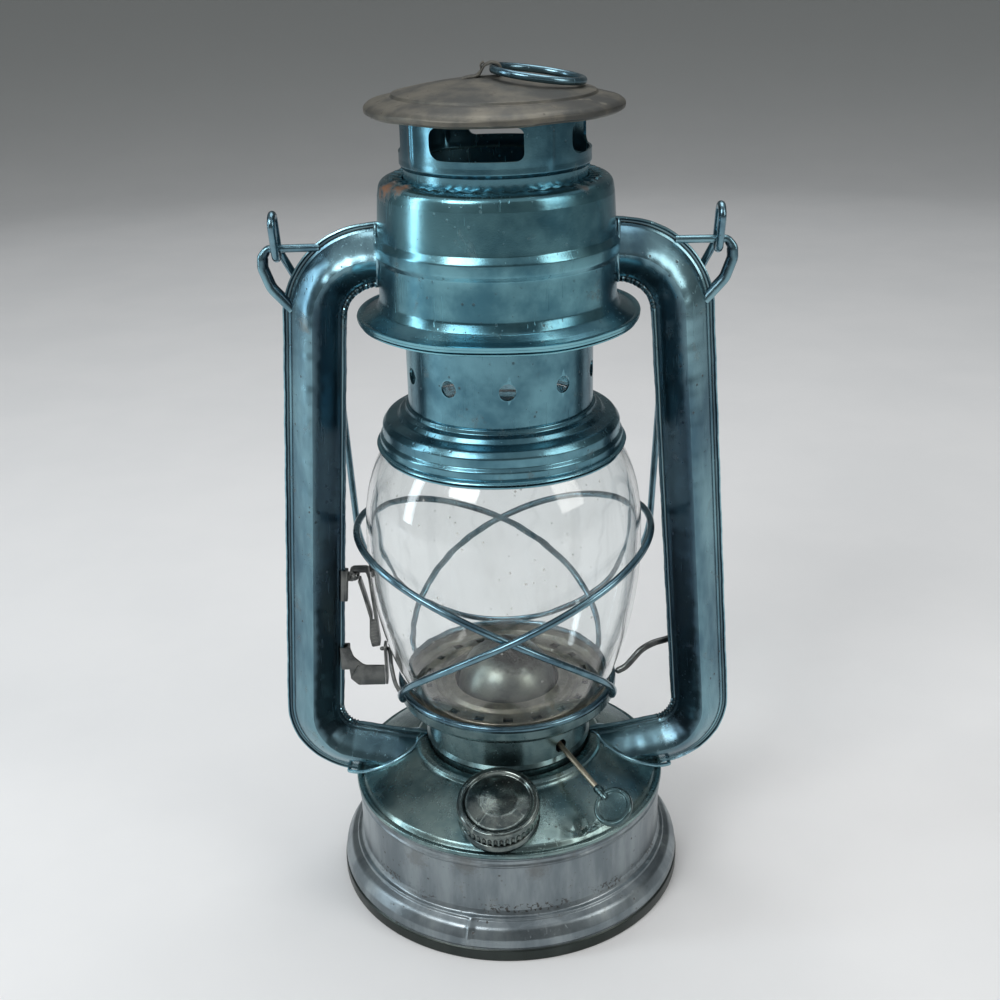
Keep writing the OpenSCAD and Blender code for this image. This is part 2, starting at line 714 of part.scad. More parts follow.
module catch_clip() {
    color(tin_dark) at_left_leg(clip_z) {
        for (y = [seam_t, -seam_t - sheet])
            translate([tube_r + 0.5, y, -clip_h / 2]) cube([seam_w - 0.5 + sheet, sheet, clip_h]);
        translate([tube_half, -seam_t, -clip_h / 2]) cube([sheet, 2 * seam_t, clip_h]);
        translate([tube_half + sheet, seam_t, 1]) cube([pin_x - tube_half - sheet, sheet, 3.2]);
        translate([pin_x, strip_back + slip, pin_up]) rotate([90, 0, 0])
            cylinder(r = pin_r, h = strip_back + slip - seam_t, $fn = 32);
    }
}

// Outline of the folded strip, from the curl on the pin to its free end
pin_at = [-leg_x(clip_z) + pin_x * cos(tube_lean) + pin_up * sin(tube_lean),
    clip_z + pin_up * cos(tube_lean) - pin_x * sin(tube_lean)];
strip_right = -globe_r + 0.2;
strip_path = [[pin_at.x, pin_at.y + 1.7], [strip_right - 1, pin_at.y + 1.7],
    [strip_right - 0.2, pin_at.y - 1], [strip_right + 0.8, pin_at.y - 12], [strip_right + 1.8, pin_at.y - 26],
    [strip_right - 1.4, pin_at.y - 26.6], [strip_right - 2.4, pin_at.y - 18],
    [strip_right - 3.6, pin_at.y - 8], [strip_right - 4.6, pin_at.y - 1]];

module catch_strip() {
    color(tin_dark) translate([0, strip_back, 0]) rotate([90, 0, 0]) linear_extrude(strip_back - strip_front)
        difference() {
            union() {
                polygon(band(strip_path, -sheet));
                translate(pin_at) circle(pin_r + running + sheet, $fn = 48);
            }
            translate(pin_at) circle(pin_r + running, $fn = 48);
        }
}

// Chimney. The plate's edge stands clear of the glass that it covers.
plate_r = high_glass((plate_z - belly_z) / (shoulder_z - belly_z)) + 1.35;
plate_path = [[plate_r, plate_z + 0.8], [plate_r - 0.2, plate_z + 3], [neck_glass_r + 2.7, plate_z + 7.4],
    [neck_glass_r + 1.8, globe_top + 0.2], [neck_glass_r + 1, globe_top + 1], [chimney_r, chimney_foot],
    [chimney_r - sheet, chimney_foot]];

module globe_plate() {
    color(tin) union() {
        spun(plate_path, sheet);
        bead(plate_r, plate_z, 0.8);
    }
}

hole_z = tube_foot + 13.2;

module chimney_tube() {
    color(tin) difference() {
        translate([0, 0, chimney_foot]) cylinder(r = chimney_r, h = seat_z - chimney_foot);
        translate([0, 0, chimney_foot - 1]) cylinder(r = chimney_r - sheet, h = chimney_h);
        for (i = [0 : air_holes - 1]) rotate([0, 0, 360 * i / air_holes - 86])
            translate([chimney_r - 4, 0, hole_z]) rotate([0, 90, 0])
                cylinder(r = air_hole_d / 2, h = 8, $fn = 32);
    }
}

module spring_seat() {
    color(tin) translate([0, 0, seat_z]) difference() {
        cylinder(r = seat_r, h = sheet);
        translate([0, 0, -1]) cylinder(r = neck_outer - sheet, h = sheet + 2);
    }
}

module vent_neck() {
    color(tin) translate([0, 0, seat_z + sheet]) difference() {
        cylinder(r = neck_outer, h = neck_top - seat_z - sheet);
        translate([0, 0, -1]) cylinder(r = neck_outer - sheet, h = neck_top);
    }
}

vent_r = chimney_r - 0.2;
window_h = 8.7;
window_w = 26;
window_z = neck_top + 8.2;
window_turn = 12;
window_round = 2.6;
vent_path = [[neck_outer, neck_top - 0.8], [vent_r - 0.6, neck_top - 0.8], [vent_r, neck_top + 0.1],
    [vent_r, cap_foot]];

module window() {
    x = window_w / 2 - window_round;
    y = window_h / 2 - window_round;
    square([window_w, 2 * y], center = true);
    square([2 * x, window_h], center = true);
    for (sx = [-x, x], sy = [-y, y]) translate([sx, sy]) circle(window_round, $fn = 32);
}

module vent_collar() {
    color(tin) difference() {
        spun(vent_path, sheet);
        for (i = [0 : 3]) rotate([0, 0, 90 * i - window_turn]) translate([0, 0, window_z]) rotate([90, 0, 0])
            translate([0, 0, 5]) linear_extrude(vent_r) window();
    }
}

brim_r = vent_r + brim_reach;
dome_edge = vent_r + 0.7;
// Radius of the dome's curve at its middle, so that the ring lies clear of it
dome_bend = 101.53125;
crown = cap_foot + 0.8 + pow(dome_edge, 2) / (2 * dome_bend);
cap_path = concat(
    [for (i = [0 : 8]) let (r = dome_edge * i / 8) [r, crown - pow(r, 2) / (2 * dome_bend)]],
    [[dome_edge + 0.7, cap_foot - 0.1], [brim_r - 0.9, brim_z + 0.5 + 1.7], [brim_r, brim_z + 1.1],
     [brim_r - 0.3, brim_z - 0.1], [brim_r - 1.9, brim_z - 1.1]]);

module cap() {
    color(tin_dark) spun(cap_path, -sheet);
}

hinge_z = crown + 2.1;
ring_wire = 1.1;
clip_half = 3;

module ring_clip() {
    color(tin_dark) difference() {
        translate([0, clip_half, 0]) rotate([90, 0, 0]) linear_extrude(2 * clip_half) difference() {
            union() {
                translate([0, hinge_z]) circle(ring_wire + running + sheet, $fn = 48);
                polygon([[-7, crown - 1.5], [-7, crown + 0.4], [-3.6, crown + 1.3], [-1.6, hinge_z + 1.1],
                    [1.4, hinge_z - 1.4], [1.2, crown - 1]]);
            }
            translate([0, hinge_z]) circle(ring_wire + running, $fn = 48);
        }
        rotate_extrude() polygon(concat([[0, 0]], [for (i = [8 : -1 : 0]) cap_path[i]]));
    }
}

ring_r = 13;
ring_rest = 8.4;
pin_half = 4.5;

module lifting_ring() {
    open = asin(pin_half / ring_r);
    angles = [for (i = [0 : 28]) (180 - open) * (1 - i / 14)];
    color(wire_grey) translate([0, 0, hinge_z]) rotate([0, ring_rest, 0]) {
        swept([for (a = angles) [ring_r * (cos(open) + cos(a)), ring_r * sin(a), 0]],
            [for (a = angles) [cos(a), sin(a), 0]], wire_outline(ring_wire - 0.03, 10));
        translate([0, pin_half + 0.9, 0]) rotate([90, 0, 0])
            cylinder(r = ring_wire, h = 2 * pin_half + 1.8, $fn = 48);
    }
}

// Bail. The frame's X runs along the pivot, -Y from it to the bail's far end and Z out of the bail's plane.
bail_wire = wire_d / 2;
eye_r = ear_rod + 0.5 + bail_wire;
eye_tail = 7.65;
eye_open = 140;
bail_half_w = ear_x - bail_in;
arch_y = bail_half_w - bail_l;
leg_points = [[ear_x, eye_tail], [ear_x, -2], [ear_x - 4, -12], [bail_half_w + 1.2, -26],
    [bail_half_w, -31], [bail_half_w, arch_y]];
// One side's wire, from its open end round the eye and down the leg
function eye_line(x) = concat(
    [for (i = [0 : 7]) let (a = eye_open * (1 - i / 7)) [x, -eye_r * sin(a), -eye_r * cos(a)]],
    [for (i = [0 : 7]) let (a = 180 * i / 7) [x, eye_tail + eye_r * sin(a), -eye_r * cos(a)]]);
leg_line = [for (p = route([for (q = leg_points) [q.x, q.y, eye_r]], 3, 3)) if (p.y < eye_tail) p];
bail_side = concat(eye_line(ear_x), leg_line);
bail_arch = [for (a = [-7.5 : -7.5 : -172.5]) [bail_half_w * cos(a), arch_y + bail_half_w * sin(a), eye_r]];
bail_line = concat(bail_side, bail_arch,
    [for (i = [len(bail_side) - 1 : -1 : 0]) [-bail_side[i].x, bail_side[i].y, bail_side[i].z]]);

module bail() {
    color(wire_grey) translate([0, 0, pivot_z]) rotate([90 + bail_rest, 0, 0]) mirror([0, 0, 1])
        swept(bail_line,
            [for (p = bail_line) p.y > arch_y ? [sign(p.x), 0, 0] : unit([p.x, p.y - arch_y, 0])],
            wire_outline(bail_wire, 8));
}

tank_shell();
tank_bottom();
tank_lid();
chamber_cover();
burner_collar();
filler_neck();
filler_cap();
filler_gasket();
burner_body();
burner_dome();
wick_tube();
shaft_bearing();
wick();
wick_shaft();
wick_wheels();
thumb_disc();
tube_left_front();
tube_left_back();
tube_right_front();
tube_right_back();
ear_left();
ear_right();
canopy();
canopy_floor();
chimney_spring();
gallery();
globe();
guard_wire_a();
guard_wire_b();
guide_wire();
link_wire();
lift_bracket();
catch_clip();
catch_strip();
globe_plate();
chimney_tube();
spring_seat();
vent_neck();
vent_collar();
cap();
ring_clip();
lifting_ring();
bail();
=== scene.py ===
"""Looks of a small tubular hurricane lantern of tin plate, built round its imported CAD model.

Lengths inside the piece classes are millimetres, with the foot's centre on the floor as the origin, +Z up and
the front at -Y. They become metres when a mesh is made.
"""

from __future__ import annotations

import logging
import math
from dataclasses import dataclass
from enum import Enum
from typing import Callable, Iterable, Sequence, Union

import bpy
import numpy as np
from mathutils import Euler, Matrix, Vector


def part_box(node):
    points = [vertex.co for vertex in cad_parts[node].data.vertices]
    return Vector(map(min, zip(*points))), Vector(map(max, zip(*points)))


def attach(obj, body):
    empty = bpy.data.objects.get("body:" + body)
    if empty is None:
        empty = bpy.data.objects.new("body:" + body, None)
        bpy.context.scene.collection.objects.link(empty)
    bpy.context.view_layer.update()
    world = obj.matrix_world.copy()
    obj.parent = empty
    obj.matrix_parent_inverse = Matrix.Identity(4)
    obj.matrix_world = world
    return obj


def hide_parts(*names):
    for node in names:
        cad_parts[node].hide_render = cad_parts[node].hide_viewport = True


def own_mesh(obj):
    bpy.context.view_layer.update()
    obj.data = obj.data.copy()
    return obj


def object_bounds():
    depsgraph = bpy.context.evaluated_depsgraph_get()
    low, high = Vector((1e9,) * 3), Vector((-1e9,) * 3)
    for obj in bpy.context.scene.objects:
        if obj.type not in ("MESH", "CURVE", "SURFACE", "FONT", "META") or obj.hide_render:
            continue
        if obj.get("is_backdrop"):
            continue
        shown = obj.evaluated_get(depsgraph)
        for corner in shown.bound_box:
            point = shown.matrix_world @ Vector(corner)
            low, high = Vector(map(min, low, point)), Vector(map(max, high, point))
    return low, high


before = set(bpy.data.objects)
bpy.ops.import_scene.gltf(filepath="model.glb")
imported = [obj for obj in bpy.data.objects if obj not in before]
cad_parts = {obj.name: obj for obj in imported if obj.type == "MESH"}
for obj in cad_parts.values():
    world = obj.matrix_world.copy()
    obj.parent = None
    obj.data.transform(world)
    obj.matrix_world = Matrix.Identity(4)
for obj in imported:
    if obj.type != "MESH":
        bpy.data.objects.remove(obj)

log = logging.getLogger("lantern")
MM = 0.001
TAU = 2.0 * math.pi
Array = np.ndarray
Warp = Callable[[Array, Array, Array], "tuple[Array, Array]"]


# Outlines and surfaces


def arc(centre: Sequence[float], radius: float, start: float, end: float, steps: int = 8) -> Array:
    """Points on a circle in the plane, by angle in degrees.

    Args:
        centre: middle of the circle.
        radius: radius of the circle.
        start: angle of the first point.
        end: angle of the last point.
        steps: number of stretches between them.

    Returns:
        An array of steps + 1 points.
    """
    a = np.radians(np.linspace(start, end, steps + 1))
    return np.stack([centre[0] + radius * np.cos(a), centre[1] + radius * np.sin(a)], axis=1)


def unit(v: Array) -> Array:
    """Each vector divided by its length."""
    return v / np.maximum(np.linalg.norm(v, axis=-1, keepdims=True), 1e-12)


def rounded(corners: Sequence[Sequence[float]], steps: int = 5) -> Array:
    """A polyline whose corners are arcs.

    Each corner is (x, y) or (x, y, fillet radius). The arc is tangent to both stretches, so it starts
    radius / tan(half the corner's angle) before the corner, and it gives way where a stretch is too short.

    Args:
        corners: the polyline's corners.
        steps: stretches of each arc.

    Returns:
        The points of the rounded polyline.
    """
    plain = np.array([c[:2] for c in corners], dtype=float)
    out = [plain[0]]
    for i in range(1, len(corners) - 1):
        radius = corners[i][2] if len(corners[i]) > 2 else 0.0
        back, on = plain[i - 1] - plain[i], plain[i + 1] - plain[i]
        room = 0.48 * min(np.linalg.norm(back), np.linalg.norm(on))
        back, on = unit(back), unit(on)
        half = 0.5 * math.acos(float(np.clip(back @ on, -1.0, 1.0)))
        if radius <= 0.0 or half > 1.56:
            out.append(plain[i])
            continue
        radius = min(radius, room * math.tan(half))
        centre = plain[i] + unit(back + on) * radius / math.sin(half)
        a = plain[i] + back * radius / math.tan(half) - centre
        b = plain[i] + on * radius / math.tan(half) - centre
        turn = math.atan2(a[0] * b[1] - a[1] * b[0], float(a @ b))
        q = np.linspace(0.0, turn, steps + 1)
        out.extend(centre + np.stack([a[0] * np.cos(q) - a[1] * np.sin(q), a[0] * np.sin(q) + a[1] * np.cos(q)], 1))
    out.append(plain[-1])
    return np.array(out)


def dense(path: Array, spacing: float) -> Array:
    """The same polyline with extra points, so that no stretch is longer than the spacing."""
    parts = [path[:1]]
    for a, b in zip(path[:-1], path[1:]):
        n = max(1, int(math.ceil(np.linalg.norm(b - a) / spacing)))
        parts.append(a + (b - a) * (np.arange(1, n + 1) / n)[:, None])
    return np.concatenate(parts)


def sheet(path: Array, thickness: float, spacing: float = 2.0) -> Array:
    """Closed outline of a bent sheet: the path, a round edge, the path shifted to its left, a round edge.

    The shift follows the mean normal of the two stretches at each point.

    Args:
        path: one face of the sheet.
        thickness: thickness of the sheet, to the left of the path, or to the right where it is negative.
        spacing: longest stretch.

    Returns:
        The points of the closed outline.
    """
    path = dense(path, spacing)
    way = unit(np.gradient(path, axis=0))
    normal = np.stack([-way[:, 1], way[:, 0]], axis=1) * thickness
    other = (path + normal)[::-1]
    bulge = abs(thickness) * 0.28
    return np.concatenate([path, [path[-1] + 0.5 * normal[-1] + way[-1] * bulge], other,
                           [path[0] + 0.5 * normal[0] - way[0] * bulge]])


def grid_mesh(name: str, grid: Array, wrap_u: bool, wrap_v: bool, sharp: float = 35.0) -> bpy.types.Object:
    """A mesh object from a grid of points in millimetres.

    Args:
        name: name of the piece.
        grid: points as an array of rows, columns and three coordinates.
        wrap_u: whether the last row joins the first.
        wrap_v: whether the last column joins the first.
        sharp: angle in degrees above which an edge shades as a crease.

    Returns:
        The new object.
    """
    rows, cols = grid.shape[:2]
    index = np.arange(rows * cols).reshape(rows, cols)
    u = np.arange(rows if wrap_u else rows - 1)
    v = np.arange(cols if wrap_v else cols - 1)
    a = index[u][:, v]
    b = index[(u + 1) % rows][:, v]
    c = index[(u + 1) % rows][:, (v + 1) % cols]
    d = index[u][:, (v + 1) % cols]
    quads = np.stack([a, b, c, d], axis=-1).reshape(-1, 4)
    return polygon_mesh(name, grid.reshape(-1, 3), quads.tolist(), sharp)


def polygon_mesh(name: str, points: Array, faces: Iterable[Sequence[int]], sharp: float = 35.0) -> bpy.types.Object:
    """A mesh object from points in millimetres and faces, with doubles merged and faces pointing outwards.

    Args:
        name: name of the piece.
        points: the points.
        faces: the points' numbers, face by face.
        sharp: angle in degrees above which an edge shades as a crease.

    Returns:
        The new object.
    """
    mesh = bpy.data.meshes.new(name)
    mesh.from_pydata((points * MM).tolist(), [], list(faces))
    work = bmesh_from(mesh)
    work.to_mesh(mesh)
    work.free()
    crease(mesh, sharp)
    piece = bpy.data.objects.new(name, mesh)
    bpy.context.scene.collection.objects.link(piece)
    return piece


def bmesh_from(mesh: bpy.types.Mesh) -> "bmesh.types.BMesh":
    """The mesh as editable geometry, without doubles or flat faces and with its normals outwards."""
    import bmesh

    work = bmesh.new()
    work.from_mesh(mesh)
    bmesh.ops.remove_doubles(work, verts=work.verts, dist=0.00001)
    bmesh.ops.dissolve_degenerate(work, edges=work.edges, dist=0.000001)
    bmesh.ops.recalc_face_normals(work, faces=work.faces)
    return work


def crease(mesh: bpy.types.Mesh, angle: float) -> None:
    """Shades the mesh smooth, with creases at edges over the angle in degrees."""
    mesh.polygons.foreach_set("use_smooth", np.ones(len(mesh.polygons), dtype=bool))
    mesh.set_sharp_from_angle(angle=math.radians(angle))
    mesh.update()


def turned(name: str, outline: Array, sectors: int = 192, warp: Warp | None = None, sharp: float = 35.0
           ) -> bpy.types.Object:
    """A solid of revolution round Z.

    Point (i, j) is (r cos t, r sin t, z) with t = 2 pi i / sectors and (r, z) the outline's point j, after the
    warp has moved it.

    Args:
        name: name of the piece.
        outline: closed outline as (r, z), all with r at least 0.
        sectors: number of steps round the axis.
        warp: function of the angle, r and z that gives r and z again.
        sharp: angle in degrees above which an edge shades as a crease.

    Returns:
        The new object.
    """
    t = (TAU * np.arange(sectors) / sectors)[:, None]
    r, z = np.maximum(outline[None, :, 0], 0.0) + 0 * t, outline[None, :, 1] + 0 * t
    if warp is not None:
        r, z = warp(t, r, z)
    return grid_mesh(name, np.stack([r * np.cos(t), r * np.sin(t), z], axis=-1), True, True, sharp)


def curve_through(points: Sequence[Sequence[float]], spacing: float = 1.0) -> Array:
    """A smooth curve through points: cubic stretches whose tangents are half the step between the neighbours.

    Args:
        points: the points that it goes through.
        spacing: distance between the curve's points.

    Returns:
        The curve's points.
    """
    p = np.array(points, dtype=float)
    m = np.gradient(p, axis=0)
    parts = []
    for i in range(len(p) - 1):
        n = max(2, int(np.linalg.norm(p[i + 1] - p[i]) / spacing))
        t = (np.arange(n) / n)[:, None]
        parts.append((2 * t**3 - 3 * t**2 + 1) * p[i] + (t**3 - 2 * t**2 + t) * m[i]
                     + (3 * t**2 - 2 * t**3) * p[i + 1] + (t**3 - t**2) * m[i + 1])
    return np.concatenate(parts + [p[-1:]])


def swept(name: str, path: Array, outline: Array, out: Array, scale: Array | None = None, closed: bool = False,
          sharp: float = 35.0) -> bpy.types.Object:
    """An outline carried along a path.

    At each point the outline's first axis is side = way x out and its second is side x way, so the second axis
    leans towards out.

    Args:
        name: name of the piece.
        path: points of the route.
        outline: closed outline, the same at each point or one for each point.
        out: direction for the second axis, one or one for each point.
        scale: size of the outline at each point.
        closed: whether the route returns to its start.
        sharp: angle in degrees above which an edge shades as a crease.

    Returns:
        The new object.
    """
    way = unit(np.roll(path, -1, 0) - np.roll(path, 1, 0)) if closed else unit(np.gradient(path, axis=0))
    side = unit(np.cross(way, np.broadcast_to(out, path.shape)))
    up = np.cross(side, way)
    shape = np.broadcast_to(outline, (len(path),) + outline.shape[-2:])
    if scale is not None:
        shape = shape * scale[:, None, None]
    grid = path[:, None, :] + shape[..., :1] * side[:, None, :] + shape[..., 1:] * up[:, None, :]
    if closed:
        return grid_mesh(name, grid, True, True, sharp)
    rows, cols = grid.shape[:2]
    points = grid.reshape(-1, 3)
    index = np.arange(rows * cols).reshape(rows, cols)
    nxt = np.roll(index, -1, axis=1)
    quads = np.stack([index[:-1], index[1:], nxt[1:], nxt[:-1]], axis=-1).reshape(-1, 4).tolist()
    return polygon_mesh(name, points, quads + [index[0].tolist(), index[-1][::-1].tolist()], sharp)


def wire(name: str, path: Array, radius: float, out: Array | Sequence[float] = (0.0, 0.0, 1.0), closed: bool = False,
         sides: int = 14) -> bpy.types.Object:
    """A round wire along a path, with rounded ends where it is open.

    Args:
        name: name of the piece.
        path: points of the wire's middle line.
        radius: radius of the wire.
        out: a direction that the path never follows.
        closed: whether the wire returns to its start.
        sides: number of points round the wire.

    Returns:
        The new object.
    """
    q = TAU * np.arange(sides) / sides
    outline = radius * np.stack([np.cos(q), np.sin(q)], axis=1)
    scale = None
    if not closed:
        ends = np.sin(np.radians([90, 60, 30, 4]))
        first, last = unit(path[0] - path[1]), unit(path[-1] - path[-2])
        head = path[0] + first * (radius * ends)[:, None]
        tail = path[-1] + last * (radius * ends)[::-1][:, None]
        path = np.concatenate([head, path, tail])
        caps = np.cos(np.radians([84, 60, 30, 4]))
        scale = np.concatenate([caps, np.ones(len(path) - 8), caps[::-1]])
        out = np.concatenate([np.repeat(out[:1], 4, 0), out, np.repeat(out[-1:], 4, 0)]) if np.ndim(out) == 2 else out
    return swept(name, path, outline, np.asarray(out, dtype=float), scale, closed)


def slab(name: str, outline: Array, low: float, high: float, place: Matrix = Matrix(), bevel: float = 0.15
         ) -> bpy.types.Object:
    """A flat plate: an outline in X and Y, drawn out along Z from low to high, then placed.

    Args:
        name: name of the piece.
        outline: corners of the plate.
        low: lower face.
        high: upper face.
        place: turn and shift, with its shift in millimetres.
        bevel: width of the bevel on its edges.

    Returns:
        The new object.
    """
    n = len(outline)
    flat = np.concatenate([np.column_stack([outline, np.full(n, low)]), np.column_stack([outline, np.full(n, high)])])
    turn, shift = np.array(place.to_3x3()), np.array(place.to_translation())
    around = [(i, (i + 1) % n, n + (i + 1) % n, n + i) for i in range(n)]
    piece = polygon_mesh(name, flat @ turn.T + shift, around + [tuple(range(n))[::-1], tuple(range(n, 2 * n))])
    if bevel > 0:
        soften(piece, bevel)
    return piece


def soften(piece: bpy.types.Object, width: float, segments: int = 2) -> None:
    """Bevels the piece's sharp edges by a width in millimetres."""
    bevel = piece.modifiers.new("edges", "BEVEL")
    bevel.width = width * MM
    bevel.segments = segments
    bevel.limit_method = "ANGLE"
    bevel.angle_limit = math.radians(40)
    settle(piece)


def settle(piece: bpy.types.Object, sharp: float = 35.0) -> None:
    """Puts the result of the piece's modifiers into its mesh."""
    seen = piece.evaluated_get(bpy.context.evaluated_depsgraph_get())
    mesh = bpy.data.meshes.new_from_object(seen)
    piece.modifiers.clear()
    piece.data = mesh
    crease(mesh, sharp)


def cut(piece: bpy.types.Object, cutters: Sequence[bpy.types.Object], join: bool = False) -> None:
    """Takes the cutters away from the piece, or adds them to it, and removes them."""
    for tool in cutters:
        step = piece.modifiers.new("cut", "BOOLEAN")
        step.operation = "UNION" if join else "DIFFERENCE"
        step.solver = "EXACT"
        step.object = tool
    settle(piece)
    for tool in cutters:
        bpy.data.objects.remove(tool, do_unlink=True)


def joined(name: str, pieces: Sequence[bpy.types.Object]) -> bpy.types.Object:
    """One object with the meshes of several pieces side by side."""
    import bmesh

    work = bmesh.new()
    for piece in pieces:
        work.from_mesh(piece.data)
    mesh = bpy.data.meshes.new(name)
    work.to_mesh(mesh)
    work.free()
    for piece in pieces:
        bpy.data.objects.remove(piece, do_unlink=True)
    crease(mesh, 35.0)
    result = bpy.data.objects.new(name, mesh)
    bpy.context.scene.collection.objects.link(result)
    return result


def copied(name: str, node: str) -> bpy.types.Object:
    """A new object with a copy of a CAD node's mesh, shaded smooth with creases."""
    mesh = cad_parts[node].data.copy()
    mesh.materials.clear()
    crease(mesh, 30.0)
    piece = bpy.data.objects.new(name, mesh)
    bpy.context.scene.collection.objects.link(piece)
    return piece


# Shader maths

Number = Union[float, "Val"]


class Val:
    """A value in a material's nodes, with the usual operators."""

    def __init__(self, graph: "Graph", source: Union[float, bpy.types.NodeSocket]) -> None:
        """Wraps a socket or a number."""
        self.graph, self.source = graph, source

    def maths(self, operation: str, *others: Number, clamp: bool = False) -> "Val":
        """One Math node.

        Args:
            operation: the Math node's operation.
            others: its other inputs.
            clamp: whether the result is held between 0 and 1.

        Returns:
            The node's value.
        """
        return self.graph.node("ShaderNodeMath", {"operation": operation, "use_clamp": clamp},
                               {i: v for i, v in enumerate((self, *others))})

    def __add__(self, other: Number) -> "Val":
        """Sum."""
        return self.maths("ADD", other)

    __radd__ = __add__

    def __sub__(self, other: Number) -> "Val":
        """Difference."""
        return self.maths("SUBTRACT", other)

    def __rsub__(self, other: Number) -> "Val":
        """Difference, the other way round."""
        return Val(self.graph, other).maths("SUBTRACT", self)

    def __mul__(self, other: Number) -> "Val":
        """Product."""
        return self.maths("MULTIPLY", other)

    __rmul__ = __mul__

    def __truediv__(self, other: Number) -> "Val":
        """Quotient."""
        return self.maths("DIVIDE", other)

    def __pow__(self, other: Number) -> "Val":
        """Power."""
        return self.maths("POWER", other)

    def between(self, low: float, high: float) -> "Val":
        """0 below low and 1 above high, with a smooth step between. Low may be above high."""
        return self.graph.node("ShaderNodeMapRange", {"interpolation_type": "SMOOTHSTEP"},
                               {"Value": self, "From Min": low, "From Max": high})

    def span(self, low: float, high: float) -> "Val":
        """Carries 0 to 1 over to low to high."""
        return self.graph.node("ShaderNodeMapRange", {}, {"Value": self, "To Min": low, "To Max": high})


class Graph:
    """The nodes of one material."""

    def __init__(self, name: str) -> None:
        """Starts a material with a Principled shader."""
        self.material = bpy.data.materials.new(name)
        self.material.use_nodes = True
        self.tree = self.material.node_tree
        self.tree.nodes.clear()
        self.output = self.tree.nodes.new("ShaderNodeOutputMaterial")
        self.shader = self.tree.nodes.new("ShaderNodeBsdfPrincipled")
        self.tree.links.new(self.shader.outputs[0], self.output.inputs["Surface"])
        self.place = self.node("ShaderNodeTexCoord", {}, {}, "Object")

    def node(self, kind: str, settings: dict, inputs: dict, output: Union[int, str] = 0) -> Val:
        """Adds one node.

        Args:
            kind: the node's type.
            settings: its properties, set first.
            inputs: values or links of its sockets, by name or number.
            output: the output wanted.

        Returns:
            That output.
        """
        node = self.tree.nodes.new(kind)
        for key, value in settings.items():
            setattr(node, key, value)
        for key, value in inputs.items():
            self.feed(node.inputs[key], value)
        return Val(self, node.outputs[output])

    def feed(self, socket: bpy.types.NodeSocket, value: Union[Number, Sequence[float]]) -> None:
        """Links or sets one socket."""
        if isinstance(value, Val) and isinstance(value.source, bpy.types.NodeSocket):
            self.tree.links.new(value.source, socket)
        else:
            socket.default_value = value.source if isinstance(value, Val) else value

    def where(self, stretch: Sequence[float] = (1.0, 1.0, 1.0), turn: Sequence[float] = (0.0, 0.0, 0.0)) -> Val:
        """Place on the piece, stretched and turned."""
        return self.node("ShaderNodeMapping", {}, {"Vector": self.place, "Scale": stretch, "Rotation": turn})

    def noise(self, size: float, detail: float = 4.0, rough: float = 0.55, twist: float = 0.0, at: Val | None = None
              ) -> Val:
        """Cloudy pattern whose blots are about size millimetres across."""
        return self.node("ShaderNodeTexNoise", {"noise_dimensions": "3D"},
                         {"Vector": at or self.place, "Scale": 1.0 / (size * MM), "Detail": detail, "Roughness": rough,
                          "Distortion": twist})

    def cells(self, size: float, feature: str = "F1", spread: float = 1.0, at: Val | None = None) -> Val:
        """Distance to the nearest of points about size millimetres apart."""
        return self.node("ShaderNodeTexVoronoi", {"feature": feature, "voronoi_dimensions": "3D"},
                         {"Vector": at or self.place, "Scale": 1.0 / (size * MM), "Randomness": spread}, "Distance")

    def blend(self, share: Number, first: object, second: object) -> Val:
        """Colour between two, by share."""
        node = self.tree.nodes.new("ShaderNodeMix")
        node.data_type = "RGBA"
        self.feed(node.inputs[0], share)
        for socket, colour in ((node.inputs[6], first), (node.inputs[7], second)):
            self.feed(socket, colour if isinstance(colour, Val) else (*colour, 1.0))
        return Val(self, node.outputs[2])

    def height(self) -> Val:
        """Height above the floor in millimetres."""
        return self.node("ShaderNodeSeparateXYZ", {}, {"Vector": self.place}, "Z") * (1.0 / MM)

    def inwards(self) -> Val:
        """Share of the surface's normal that points at the lantern's upright middle line, from -1 to 1."""
        level = self.node("ShaderNodeVectorMath", {"operation": "MULTIPLY"}, {0: self.place, 1: (-1.0, -1.0, 0.0)})
        way = self.node("ShaderNodeVectorMath", {"operation": "NORMALIZE"}, {0: level})
        normal = self.node("ShaderNodeNewGeometry", {}, {}, "Normal")
        return self.node("ShaderNodeVectorMath", {"operation": "DOT_PRODUCT"}, {0: way, 1: normal}, "Value")

    def bump(self, height: Number, strength: float, distance: float) -> None:
        """Feeds the shader's normal with a relief of the distance in millimetres."""
        relief = self.node("ShaderNodeBump", {}, {"Height": height, "Strength": strength, "Distance": distance * MM})
        self.feed(self.shader.inputs["Normal"], relief)

    def set(self, **values: object) -> None:
        """Feeds the shader's sockets, named with underscores."""
        for key, value in values.items():
            self.feed(self.shader.inputs[key.replace("_", " ")], value)

# Finishes


@dataclass(frozen=True)
class Stain:
    """A discoloured patch: its place and reach in millimetres, its colour, its strength, and whether it is rust."""

    place: tuple[float, float, float]
    reach: float
    colour: tuple[float, float, float] = (0.23, 0.10, 0.04)
    strength: float = 0.9
    rusty: bool = True


